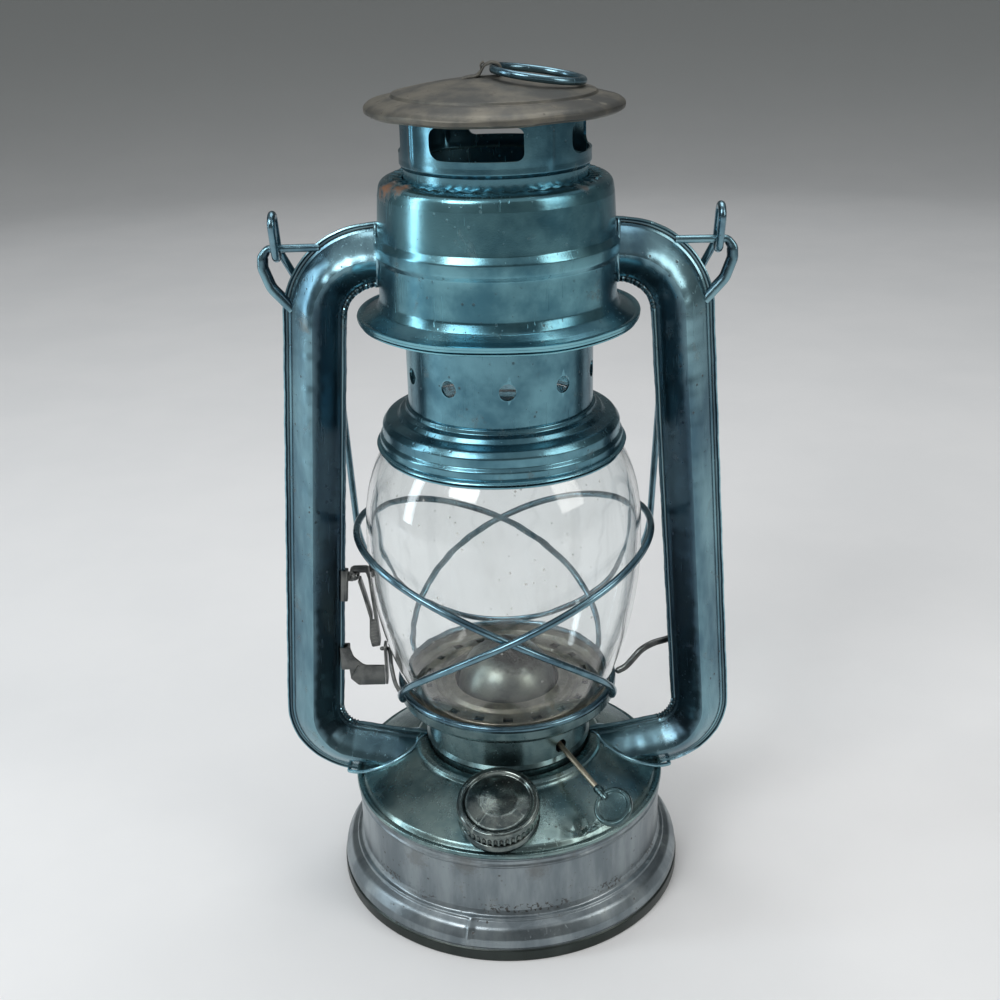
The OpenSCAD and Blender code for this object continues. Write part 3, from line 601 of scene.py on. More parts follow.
@dataclass(frozen=True)
class Tin:
    """Aged tin plate: cloudy between two tones, tarnished in blots, pitted, scratched and slightly dented, with
    painted shade on faces turned towards the lantern's middle where that is set.
    """

    name: str = "tin plate"
    pale: tuple[float, float, float] = (0.44, 0.58, 0.63)
    deep: tuple[float, float, float] = (0.20, 0.31, 0.36)
    tarnish: tuple[float, float, float] = (0.17, 0.145, 0.11)
    cloud: float = 24.0
    stretch: tuple[float, float, float] = (1.0, 1.0, 1.0)
    gloss: tuple[float, float] = (0.24, 0.40)
    pits: float = 0.5
    pit_size: float = 3.2
    dents: float = 0.10
    metal: float = 0.95
    tarnished: float = 0.45
    band: tuple[float, float] = (0.0, 0.0)
    stains: tuple[Stain, ...] = ()
    hem: float = 0.0
    inward_painted_shade: float = 0.0
    worn: float = 0.55

    def material(self) -> bpy.types.Material:
        """Builds the material.

        The tone goes from deep to pale with a cloudy pattern. Tarnish covers the dark ends of a second pattern,
        pits are the hearts of scattered cells, and scratches are thin ridges of a drawn-out pattern. Faces turned
        towards the lantern's middle line get painted shade.

        Returns:
            The material.
        """
        g = Graph(self.name)
        along = g.where(stretch=self.stretch)
        clouds = g.noise(self.cloud, detail=5.0, rough=0.6, at=along).between(0.36, 0.64)
        colour = g.blend(clouds, self.deep, self.pale)
        grime = g.noise(self.cloud * 0.45, detail=6.0, rough=0.68, twist=0.4).between(0.60, 0.78) * self.tarnished
        colour = g.blend(grime, colour, self.tarnish)
        field = g.noise(13.0, detail=2.0).between(0.46, 0.62)
        pit = g.cells(self.pit_size).between(0.17, 0.07) * field * self.pits
        speck = g.cells(self.pit_size * 0.37).between(0.20, 0.08) * g.noise(5.0).between(0.55, 0.68) * self.pits
        marks = pit.maths("MAXIMUM", speck)
        colour = g.blend(marks, colour, (0.055, 0.048, 0.042))
        if self.band[1] > 0.0:
            high = g.height()
            dots = g.noise(1.1, detail=3.0).between(0.52, 0.60) * g.noise(14.0).between(0.40, 0.55)
            strip = high.between(self.band[0] - 0.6, self.band[0]) * high.between(self.band[1] + 0.6, self.band[1])
            colour = g.blend(strip * dots * 0.85, colour, (0.07, 0.062, 0.055))
        shape = g.node("ShaderNodeNewGeometry", {}, {}, "Pointiness")
        hollow, ridge = shape.between(0.485, 0.44) * 0.75, shape.between(0.52, 0.575) * self.worn
        colour = g.blend(hollow, colour, tuple(c * 0.45 for c in self.tarnish))
        colour = g.blend(ridge, colour, tuple(min(1.0, c * 1.45) for c in self.pale))
        if self.hem > 0.0:
            colour = g.blend(g.height().between(self.hem + 0.25, self.hem - 0.25) * 0.9, colour, (0.028, 0.034, 0.028))
        # Painted shade: faces turned towards the lantern's upright middle line are darkened to a deep blue.
        if self.inward_painted_shade > 0.0:
            colour = g.blend(g.inwards().between(-0.05, 0.5) * self.inward_painted_shade, colour, (0.020, 0.034, 0.052))
        rust: Number = 0.0
        for stain in self.stains:
            near = g.node("ShaderNodeVectorMath", {"operation": "DISTANCE"},
                          {0: g.place, 1: tuple(v * MM for v in stain.place)}, "Value") * (1.0 / (MM * stain.reach))
            ragged = (near + (g.noise(2.4, detail=7.0, rough=0.8) - 0.5) * 2.2).between(1.0, 0.2) * stain.strength
            colour = g.blend(ragged, colour, stain.colour)
            if stain.rusty:
                rust = ragged.maths("MAXIMUM", rust)
        tilted = g.where(stretch=(1.0, 1.0, 0.045), turn=(0.35, 0.5, 0.2))
        scratch = g.noise(0.8, detail=1.0, at=tilted).between(0.66, 0.72) * g.noise(30.0).between(0.45, 0.60)
        rough = g.noise(7.0, detail=5.0).span(*self.gloss) + grime * 0.22 + marks * 0.25 + rust * 0.3 + scratch * 0.08
        relief = (g.noise(17.0, detail=1.0) * self.dents * 6.0 + g.noise(0.45, detail=2.0) * 0.05 - marks * 0.25
                  - scratch * 0.10)
        g.bump(relief, 0.55, 0.5)
        g.set(Base_Color=colour, Metallic=(rust * -0.9 + grime * -0.5 + marks * -0.6 + 1.0) * self.metal,
              Roughness=rough.maths("MINIMUM", 0.9))
        return g.material


@dataclass(frozen=True)
class Glass:
    """Clear pressed glass with faint smears and a few specks."""

    name: str = "clear glass"
    tint: tuple[float, float, float] = (0.965, 0.985, 0.985)

    def material(self) -> bpy.types.Material:
        """Builds the material: a clear shader, a thin veil of dust by a cloudy mask, and light let through to the inside.

        Returns:
            The material.
        """
        g = Graph(self.name)
        smear = g.noise(28.0, detail=6.0, rough=0.65, twist=0.6, at=g.where(stretch=(1.0, 1.0, 0.45)))
        speck = g.cells(5.5).between(0.10, 0.04) * g.noise(11.0).between(0.42, 0.55)
        ripple = g.noise(19.0, detail=1.0, at=g.where(stretch=(1.0, 1.0, 0.55)))
        g.set(Base_Color=(*self.tint, 1.0), Transmission_Weight=1.0, IOR=1.46,
              Roughness=smear.between(0.45, 0.75) * 0.05 + 0.01)
        g.bump(ripple, 0.35, 0.5)
        dust = g.node("ShaderNodeBsdfDiffuse", {}, {"Color": (0.52, 0.52, 0.49, 1.0)})
        clear = g.node("ShaderNodeBsdfTransparent", {}, {"Color": (0.97, 0.98, 0.98, 1.0)})
        dirty = g.node("ShaderNodeMixShader", {}, {0: smear.between(0.46, 0.80) * 0.10 + speck * 0.75,
                                                   1: Val(g, g.shader.outputs[0]), 2: dust})
        shadow = g.node("ShaderNodeLightPath", {}, {}, "Is Shadow Ray")
        result = g.node("ShaderNodeMixShader", {}, {0: shadow, 1: dirty, 2: clear})
        g.tree.links.new(result.source, g.output.inputs["Surface"])
        return g.material


@dataclass(frozen=True)
class Cotton:
    """Woven wick, charred towards its top."""

    name: str = "wick cotton"
    clean: tuple[float, float, float] = (0.56, 0.49, 0.37)
    char: tuple[float, float, float] = (0.012, 0.011, 0.010)
    burnt_above: float = 76.5

    def material(self) -> bpy.types.Material:
        """Builds the material: crossed threads of about a millimetre, and char that starts at a ragged height.

        Returns:
            The material.
        """
        g = Graph(self.name)
        warp = g.node("ShaderNodeTexWave", {"bands_direction": "Z"}, {"Vector": g.place, "Scale": 250.0,
                                                                       "Distortion": 1.0, "Detail": 2.0})
        weft = g.node("ShaderNodeTexWave", {"bands_direction": "DIAGONAL"}, {"Vector": g.place, "Scale": 190.0,
                                                                              "Distortion": 1.0, "Detail": 2.0})
        weave = warp * 0.5 + weft * 0.5
        burnt = (g.height() + (g.noise(2.5, detail=4.0) - 0.5) * 5.0).between(self.burnt_above - 4.0, self.burnt_above)
        thread = g.blend(weave.span(0.0, 0.6), self.clean, tuple(c * 0.55 for c in self.clean))
        g.set(Base_Color=g.blend(burnt, thread, self.char), Roughness=0.92, Sheen_Weight=0.2)
        g.bump(weave, 0.8, 0.35)
        return g.material


@dataclass(frozen=True)
class Cork:
    """Pressed cork of the sealing disc."""

    name: str = "pressed cork"
    light: tuple[float, float, float] = (0.44, 0.30, 0.17)
    dark: tuple[float, float, float] = (0.20, 0.12, 0.065)

    def material(self) -> bpy.types.Material:
        """Builds the material: grains of about two millimetres with dark seams.

        Returns:
            The material.
        """
        g = Graph(self.name)
        grain = g.cells(2.2, feature="DISTANCE_TO_EDGE").between(0.0, 0.12)
        tone = g.noise(2.5, detail=5.0)
        g.set(Base_Color=g.blend(grain * tone.span(0.5, 1.0), self.dark, self.light), Roughness=tone.span(0.65, 0.9))
        g.bump(grain * 0.5 + tone, 0.5, 0.3)
        return g.material


class Finish(Enum):
    """The finishes of the lantern's pieces."""

    TANK = Tin("tin of the tank", pale=(0.31, 0.355, 0.375), deep=(0.18, 0.215, 0.235), cloud=11.0,
               stretch=(1.0, 1.0, 0.22), gloss=(0.26, 0.40), pits=0.9, tarnished=0.5, band=(14.0, 16.4), hem=4.3,
               stains=(Stain((-14.0, -49.0, 31.0), 6.0, (0.10, 0.095, 0.085), 0.5),
                       Stain((8.0, -50.5, 29.0), 5.0, (0.10, 0.095, 0.085), 0.45),
                       Stain((-30.0, -41.0, 28.0), 5.5, (0.10, 0.095, 0.085), 0.45)))
    COVER = Tin("tin of the cone", pale=(0.25, 0.345, 0.335), deep=(0.085, 0.155, 0.17), cloud=19.0, pits=0.6,
                dents=0.16, tarnished=0.5, gloss=(0.20, 0.34))
    # Dark teal tin: the thumb disc's own tone, and painted shade on the gallery's hood and the burner's collar under
    # the gallery.
    DARK_TEAL_AND_PAINTED_SHADE = Tin("dusky teal tin", pale=(0.115, 0.175, 0.18), deep=(0.055, 0.10, 0.11), cloud=6.0, pits=0.4,
                pit_size=1.4, dents=0.02, tarnished=0.3, gloss=(0.20, 0.32), worn=0.25)
    FOOT = Tin("tin of the foot", pale=(0.30, 0.37, 0.39), deep=(0.13, 0.18, 0.20), cloud=18.0, pits=0.7,
               tarnished=0.6)
    HOOD = Tin("tin of the hood", pale=(0.18, 0.39, 0.45), deep=(0.065, 0.18, 0.235), gloss=(0.17, 0.30),
               tarnish=(0.13, 0.105, 0.075), tarnished=0.75,
               stains=(Stain((-31.0, -12.5, 233.4), 5.8), Stain((-26.5, -18.0, 233.8), 4.2),
                       Stain((-33.0, -9.0, 230.5), 3.0, strength=0.6), Stain((24.0, -22.0, 233.5), 3.0, strength=0.5)))
    # The side tubes' faces towards the middle get painted shade.
    TUBE = Tin("tin of the side tubes", pale=(0.22, 0.38, 0.435), deep=(0.075, 0.15, 0.20), cloud=22.0,
               stretch=(1.0, 1.0, 0.3), pits=0.8, gloss=(0.17, 0.32), dents=0.12, tarnished=0.5, inward_painted_shade=0.82)
    COLLAR = Tin("tin of the collars", pale=(0.155, 0.33, 0.395), deep=(0.055, 0.145, 0.195), gloss=(0.17, 0.30),
                 tarnish=(0.12, 0.10, 0.075), tarnished=0.65)
    CAP = Tin("weathered tin", pale=(0.175, 0.165, 0.138), deep=(0.085, 0.087, 0.082), tarnish=(0.05, 0.044, 0.035),
              cloud=13.0, gloss=(0.44, 0.60), pits=0.9, pit_size=2.2, metal=0.8, tarnished=0.8)
    FILLER = Tin("tin of the filler cap", pale=(0.27, 0.31, 0.29), deep=(0.065, 0.09, 0.095), cloud=9.0, pits=0.7,
                 pit_size=1.6, gloss=(0.10, 0.26), tarnished=0.5)
    SHAFT = Tin("rusty shaft wire", pale=(0.40, 0.36, 0.28), deep=(0.19, 0.17, 0.13), cloud=7.0, gloss=(0.35, 0.5),
                pits=0.8, pit_size=1.6, tarnished=0.8)
    CLIP = Tin("dark tin", pale=(0.15, 0.155, 0.15), deep=(0.05, 0.055, 0.058), tarnish=(0.06, 0.05, 0.035), cloud=5.0,
               gloss=(0.28, 0.44), pits=0.9, pit_size=1.5, tarnished=0.8)
    WIRE = Tin("steel wire", pale=(0.16, 0.275, 0.33), deep=(0.06, 0.115, 0.155), cloud=12.0, gloss=(0.15, 0.27), pits=0.6,
               pit_size=2.0, dents=0.03)
    DISH = Tin("tin of the gallery dish", pale=(0.30, 0.285, 0.235), deep=(0.15, 0.145, 0.125),
               tarnish=(0.085, 0.065, 0.045), cloud=9.0, gloss=(0.26, 0.42), pits=0.8, pit_size=2.2, tarnished=0.7)
    # Three near-black patches round the top of the dome, by the flame's slot.
    BURNER = Tin("tin of the burner", pale=(0.18, 0.20, 0.175), deep=(0.07, 0.09, 0.09), tarnish=(0.06, 0.05, 0.036),
                 cloud=10.0, gloss=(0.26, 0.42), pits=0.8, pit_size=2.2, tarnished=0.7,
                 stains=(Stain((3.0, -5.0, 81.6), 10.0, (0.012, 0.011, 0.010), 0.97, False),
                         Stain((6.0, -6.5, 80.4), 8.5, (0.012, 0.011, 0.010), 0.97, False),
                         Stain((0.5, -4.0, 82.1), 8.5, (0.012, 0.011, 0.010), 0.97, False)))
    GLASS = Glass()
    COTTON = Cotton()
    CORK = Cork()

    def material(self) -> bpy.types.Material:
        """This finish's material, built once."""
        if self.name not in _made:
            _made[self.name] = self.value.material()
        return _made[self.name]


_made: dict[str, bpy.types.Material] = {}

LEVEL = Matrix.Rotation(math.radians(90.0), 4, "X")
SIDEWAYS = Matrix(((0.0, 0.0, 1.0, 0.0), (1.0, 0.0, 0.0, 0.0), (0.0, 1.0, 0.0, 0.0), (0.0, 0.0, 0.0, 1.0)))


class Slot(Enum):
    """Names of the material slots."""

    TIN = "tinplate"
    DARK = "dark_tin"
    WIRE = "wire"
    BURNER = "burner_tin"
    GLASS = "globe_glass"
    COTTON = "cotton"
    CORK = "cork"


class Body(Enum):
    """The bodies that pieces ride on."""

    FRAME = "frame"
    CARRIER = "carrier"
    CHIMNEY = "chimney"
    RING = "lifting_ring"
    BAIL = "bail"
    CATCH = "catch"
    RAISER = "wick_raiser"
    WICK = "wick"
    SEAL = "seal"
    FILLER = "filler_cap"


def keep(node: str, finish: Finish) -> None:
    """Leaves a CAD node as it is and gives it a finish."""
    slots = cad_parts[node].material_slots
    for place in slots:
        place.material = finish.material()
    if not slots:
        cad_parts[node].data.materials.append(finish.material())
    log.info("kept %s as %s", node, finish.value.name)


def dress(piece: bpy.types.Object, finish: Finish, body: Body, slot: Slot, *nodes: str) -> bpy.types.Object:
    """Gives a piece its finish and the body it rides on, and hides the CAD nodes it stands for.

    Args:
        piece: the piece.
        finish: its finish.
        body: the body it rides on.
        slot: not used.
        nodes: the CAD nodes that it stands for.

    Returns:
        The piece.
    """
    piece.data.materials.clear()
    piece.data.materials.append(finish.material())
    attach(piece, body.value)
    if nodes:
        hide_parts(*nodes)
    log.info("made %s, %d faces, on %s", piece.name, len(piece.data.polygons), body.value)
    return piece


def placed(piece: bpy.types.Object, place: Matrix) -> bpy.types.Object:
    """Moves a piece's mesh by a turn and a shift in millimetres."""
    turn = place.to_3x3().to_4x4()
    piece.data.transform(Matrix.Translation(place.to_translation() * MM) @ turn)
    return piece


def ripple(t: Array, waves: Sequence[tuple[float, float, float]]) -> Array:
    """Sum of sines: for each (size, turns, start) the size times sin(turns x t + start)."""
    return sum(size * np.sin(turns * t + start) for size, turns, start in waves)


def hump(t: Array, middle: float, width: float) -> Array:
    """Bell curve of height 1 round the middle, taken the short way round a circle."""
    off = np.mod(t - middle + math.pi, TAU) - math.pi
    return np.exp(-((off / width) ** 2))


def flat(points: Array, side: float = 1.0) -> Array:
    """Points (x, z) put on the XZ plane, mirrored where the side is -1."""
    return np.stack([points[:, 0] * side, np.zeros(len(points)), points[:, 1]], axis=1)


# The lantern


@dataclass
class Tank:
    """Tank wall with its rolled foot, and the cone over the air chamber."""

    wall_r: float = 50.9
    foot_r: float = 57.5
    seam_at: float = math.radians(-104.0)
    dent_at: float = math.radians(-61.0)
    dent_r: float = 46.3

    def wall(self) -> None:
        """Wall and foot: a turned sheet with a shallow swell, a lapped seam on the flare and a small notch there.

        The seam is a step of 0.35 mm that fades over 9 degrees, and the notch a ridge that narrows downwards.
        """
        path = rounded([(56.3, 0.5), (56.5, 0.0, 0.3), (57.48, 0.0, 0.9), (57.48, 3.9, 0.8), (56.8, 4.3, 0.3),
                        (57.2, 5.0, 0.3), (56.9, 7.4, 2.0), (55.1, 10.6, 3.0), (53.0, 11.8, 0.5), (52.8, 12.6, 0.4),
                        (51.7, 12.9, 0.8), (50.9, 14.6, 1.0), (50.9, 30.6, 0.6), (51.4, 31.3, 0.5), (50.9, 32.1, 0.6),
                        (50.9, 33.1, 0.4), (51.4, 34.0, 0.6), (51.3, 35.1, 0.5), (50.4, 35.3)], 6)

        def warp(t: Array, r: Array, z: Array) -> tuple[Array, Array]:
            on_flare = np.clip((z - 4.2) / 1.5, 0, 1) * np.clip((13.2 - z) / 1.5, 0, 1)
            off = np.mod(self.seam_at - t, TAU)
            step = 0.35 * np.clip(1.0 - off / math.radians(9.0), 0, 1) * (off > 0)
            notch = 0.7 * hump(t, self.seam_at, 0.006 + 0.0016 * (z - 4.0)) * np.clip((z - 4.5) / 2.0, 0, 1)
            swell = ripple(t, ((0.10, 3, 0.4), (0.07, 5, 2.0), (0.05, 9, 1.1))) * np.clip((z - 5.0) / 9.0, 0, 1)
            return r + on_flare * (step + notch) - np.abs(swell) * 0.9, z

        shell = turned("tank_wall", sheet(path, 0.8, 1.6), 576, warp)
        dress(shell, Finish.TANK, Body.FRAME, Slot.TIN, "tank_shell")

    def cone(self) -> None:
        """Cone: a turned sheet from a lip over the wall to a raised ring, with a crinkled dent near its edge.

        The dent is a bell curve in angle and radius, and the crinkles are sharp-edged waves under the same bell.
        """
        path = rounded([(51.2, 34.0), (51.75, 34.9, 0.5), (51.5, 36.0, 0.5), (50.3, 36.1, 0.4), (49.9, 35.7, 0.3),
                        (48.9, 37.3, 1.6), (31.3, 45.9, 0.8), (30.9, 46.9, 0.4), (29.8, 47.7, 0.6), (27.6, 47.6, 0.6),
                        (26.9, 47.0)], 5)

        def warp(t: Array, r: Array, z: Array) -> tuple[Array, Array]:
            near = hump(t, self.dent_at, 0.12) * np.exp(-(((r - self.dent_r) / 2.6) ** 2)) * (z > 36.2)
            u = t * self.dent_r
            crinkle = (0.75 * np.abs(np.sin(0.62 * u + 0.9 * np.sin(0.8 * r)))
                       + 0.5 * np.abs(np.sin(0.45 * u - 1.05 * r + 1.2 * np.sin(0.5 * u))) - 0.6)
            swell = ripple(t, ((0.12, 3, 1.0), (0.10, 4, 2.4), (0.06, 11, 0.3))) * np.clip((49.0 - r) / 4.0, 0, 1)
            return r, z - near * (0.9 + crinkle) + swell * (r > 31.5) * (z > 36.2)

        dress(turned("tank_cone", sheet(path, 0.8, 0.9), 480, warp, 50.0), Finish.COVER, Body.FRAME, Slot.TIN,
              "chamber_cover")

    def build(self) -> None:
        """Makes or keeps its pieces."""
        self.wall()
        self.cone()
        for node in ("tank_bottom", "tank_lid"):
            keep(node, Finish.FOOT)
        # The burner's collar is dressed dark as painted shade under the gallery.
        keep("burner_collar", Finish.DARK_TEAL_AND_PAINTED_SHADE)


@dataclass
class Filler:
    """Filler neck, its cap and the sealing disc."""

    turn: float = -5.0
    lean: float = 20.0
    place: tuple[float, float, float] = (-3.486, -39.848, 42.7)
    teeth: int = 44
    cap_r: float = 13.0

    def frame(self) -> Matrix:
        """The neck's frame, with Z along it and outwards."""
        turn = Matrix.Rotation(math.radians(self.turn), 4, "Z") @ Matrix.Rotation(math.radians(self.lean), 4, "X")
        return Matrix.Translation(self.place) @ turn

    def cap(self) -> None:
        """Cap: a turned solid with a domed face in a rolled rim, whose skirt is crimped into teeth by a cosine."""
        path = rounded([(0.0, 8.1), (6.0, 7.8, 6.0), (9.4, 6.8, 1.0), (10.3, 6.7, 0.4), (10.9, 7.75, 0.7),
                        (12.6, 7.75, 0.8), (13.0, 6.3, 0.5), (12.6, 5.7, 0.3), (12.9, 5.2, 0.3), (12.9, 2.5, 0.4),
                        (12.5, 2.0, 0.2), (10.4, 2.0), (10.4, 5.66), (0.0, 5.66)], 5)

        def warp(t: Array, r: Array, z: Array) -> tuple[Array, Array]:
            skirt = np.clip((r - 11.4) / 0.8, 0, 1) * np.clip((5.5 - z) / 0.5, 0, 1)
            return r - skirt * 0.28 * (1.0 + np.cos(self.teeth * t) * (1.0 + 0.3 * np.sin(3.0 * t))), z

        cap = turned("filler_lid", dense(path, 0.7), 528, warp, 50.0)
        dress(placed(cap, self.frame()), Finish.FILLER, Body.FILLER, Slot.TIN, "filler_cap")

    def flange(self) -> None:
        """Flange of the neck: a turned ring with a rolled edge, half sunk in the cone's slope."""
        ring = rounded([(9.4, -2.4), (12.4, -2.4, 0.3), (12.9, -0.6, 0.6), (12.3, 0.9, 0.5), (10.6, 1.0, 0.5),
                        (10.1, 1.6, 0.3), (9.4, 1.5), (9.4, -2.4)], 4)
        dress(placed(turned("neck_flange", ring[:-1], 160), self.frame()), Finish.FILLER, Body.FRAME, Slot.TIN)

    def build(self) -> None:
        """Makes or keeps its pieces."""
        self.cap()
        self.flange()
        keep("filler_neck", Finish.COVER)
        keep("filler_gasket", Finish.CORK)


@dataclass
class Burner:
    """Burner with its dome, wick and raiser."""

    turn: float = -58.0
    droop: float = 13.5
    shaft_off: float = 3.5
    shaft_z: float = 61.1
    thumb_at: float = 56.0
    thumb_r: float = 6.2
    thumb_roll: float = 36.0
    dome_r: float = 16.2
    dome_z: float = 66.4
    dome_foot: float = 53.8
    wick_half: tuple[float, float] = (6.4, 0.8)

    def frame(self) -> Matrix:
        """The burner's frame, with X along the wick's width."""
        return Matrix.Rotation(math.radians(self.turn), 4, "Z")

    def shaft_frame(self) -> Matrix:
        """The shaft's frame, with X along it, outwards and down."""
        droop = Matrix.Rotation(math.radians(self.droop), 4, "Y")
        return self.frame() @ Matrix.Translation((0.0, self.shaft_off, self.shaft_z)) @ droop

    def wick(self) -> None:
        """A flat woven strip: its half thickness swells and thins with the threads, and its top is frayed.

        At height z and angle a round the strip's outline, x is the half width times the cosine's fourth root with
        its sign and y the half thickness times the sine's, both with a small ripple of the weft.
        """
        low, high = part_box("wick")
        a = (TAU * np.arange(64) / 64)[None, :]
        z = np.linspace(low.z / MM, high.z / MM, 120)[:, None]
        weft = 0.97 - 0.03 * np.cos(z * TAU / 1.1)
        x = self.wick_half[0] * np.sign(np.cos(a)) * np.abs(np.cos(a)) ** 0.25 * weft
        y = self.wick_half[1] * np.sign(np.sin(a)) * np.abs(np.sin(a)) ** 0.5 * weft
        fray = np.clip((z - high.z / MM + 1.2) / 1.2, 0.0, 1.0) * 0.5 * (1.0 + np.sin(x * 9.0) * np.cos(x * 4.3))
        q = math.radians(self.turn)
        grid = np.stack([x * math.cos(q) - y * math.sin(q), x * math.sin(q) + y * math.cos(q), z - fray], axis=-1)
        ends = np.stack([grid[0].mean(0), grid[-1].mean(0)])
        grid = np.concatenate([np.repeat(ends[None, :1], 64, 1), grid, np.repeat(ends[None, 1:], 64, 1)])
        dress(grid_mesh("wick_cotton", grid, False, True, 60.0), Finish.COTTON, Body.WICK, Slot.COTTON, "wick")

    def dome(self) -> None:
        """Flame dome: a turned sheet with a pressed ring, cut by the flame's slot and the hole for the shaft."""
        top = arc((0.0, self.dome_z), self.dome_r, 0.0, 90.0, 24)
        path = np.concatenate([rounded([(11.2, self.dome_foot), (13.2, 57.8, 2.0), (15.2, 64.2, 0.8),
                                        (self.dome_r, self.dome_z)], 4), top[1:]])
        dome = turned("flame_dome", sheet(path, 0.7, 1.2), 224)
        slot = rounded([(9.0, -3.0), (9.0, 3.0, 1.5), (-9.0, 3.0, 1.5), (-9.0, -3.0, 1.5), (9.0, -3.0, 1.5),
                        (9.0, 0.0)], 4)[1:]
        mouth = slab("mouth", slot, self.dome_z + 5.0, self.dome_z + 20.0, self.frame(), 0.0)
        bore = wire("bore", np.array([[2.0, 0.0, 0.0], [34.0, 0.0, 0.0]]), 1.7, sides=28)
        cut(dome, [mouth, placed(bore, self.shaft_frame())])
        dress(dome, Finish.BURNER, Body.FRAME, Slot.BURNER, "burner_dome")

    def thumb(self) -> None:
        """Thumb disc: a turned disc with a raised border on both faces, on a sleeve pressed round the shaft."""
        face = rounded([(0.0, 0.5), (4.5, 0.5, 0.4), (4.9, 1.0, 0.3), (5.8, 1.0, 0.4), (6.2, 0.4, 0.3), (6.2, 0.0)], 4)
        outline = np.concatenate([face, (face * (1.0, -1.0))[::-1][1:]])
        turn = Matrix.Translation((self.thumb_at, 0, 0)) @ Matrix.Rotation(math.radians(self.thumb_roll), 4, "X")
        disc = placed(turned("disc", outline, 128), turn)
        reach = np.linspace(self.thumb_at - 9.0, self.thumb_at - 3.4, 8)
        sleeve = swept("sleeve", np.stack([reach, 0 * reach, 0 * reach], 1),
                       1.5 * np.stack([np.cos(np.radians(np.arange(0, 360, 15))),
                                       np.sin(np.radians(np.arange(0, 360, 15)))], 1),
                       np.array([0.0, 0.0, 1.0]), np.array([0.86, 1.0, 1.0, 0.9, 0.9, 1.0, 0.95, 0.7]))
        thumb = placed(joined("thumb_piece", [disc, sleeve]), self.shaft_frame())
        dress(thumb, Finish.DARK_TEAL_AND_PAINTED_SHADE, Body.RAISER, Slot.TIN, "thumb_disc")

    def build(self) -> None:
        """Makes or keeps its pieces."""
        for node in ("burner_body", "wick_tube", "shaft_bearing", "wick_wheels"):
            keep(node, Finish.BURNER)
        keep("wick_shaft", Finish.SHAFT)
        self.dome()
        self.thumb()
        self.wick()


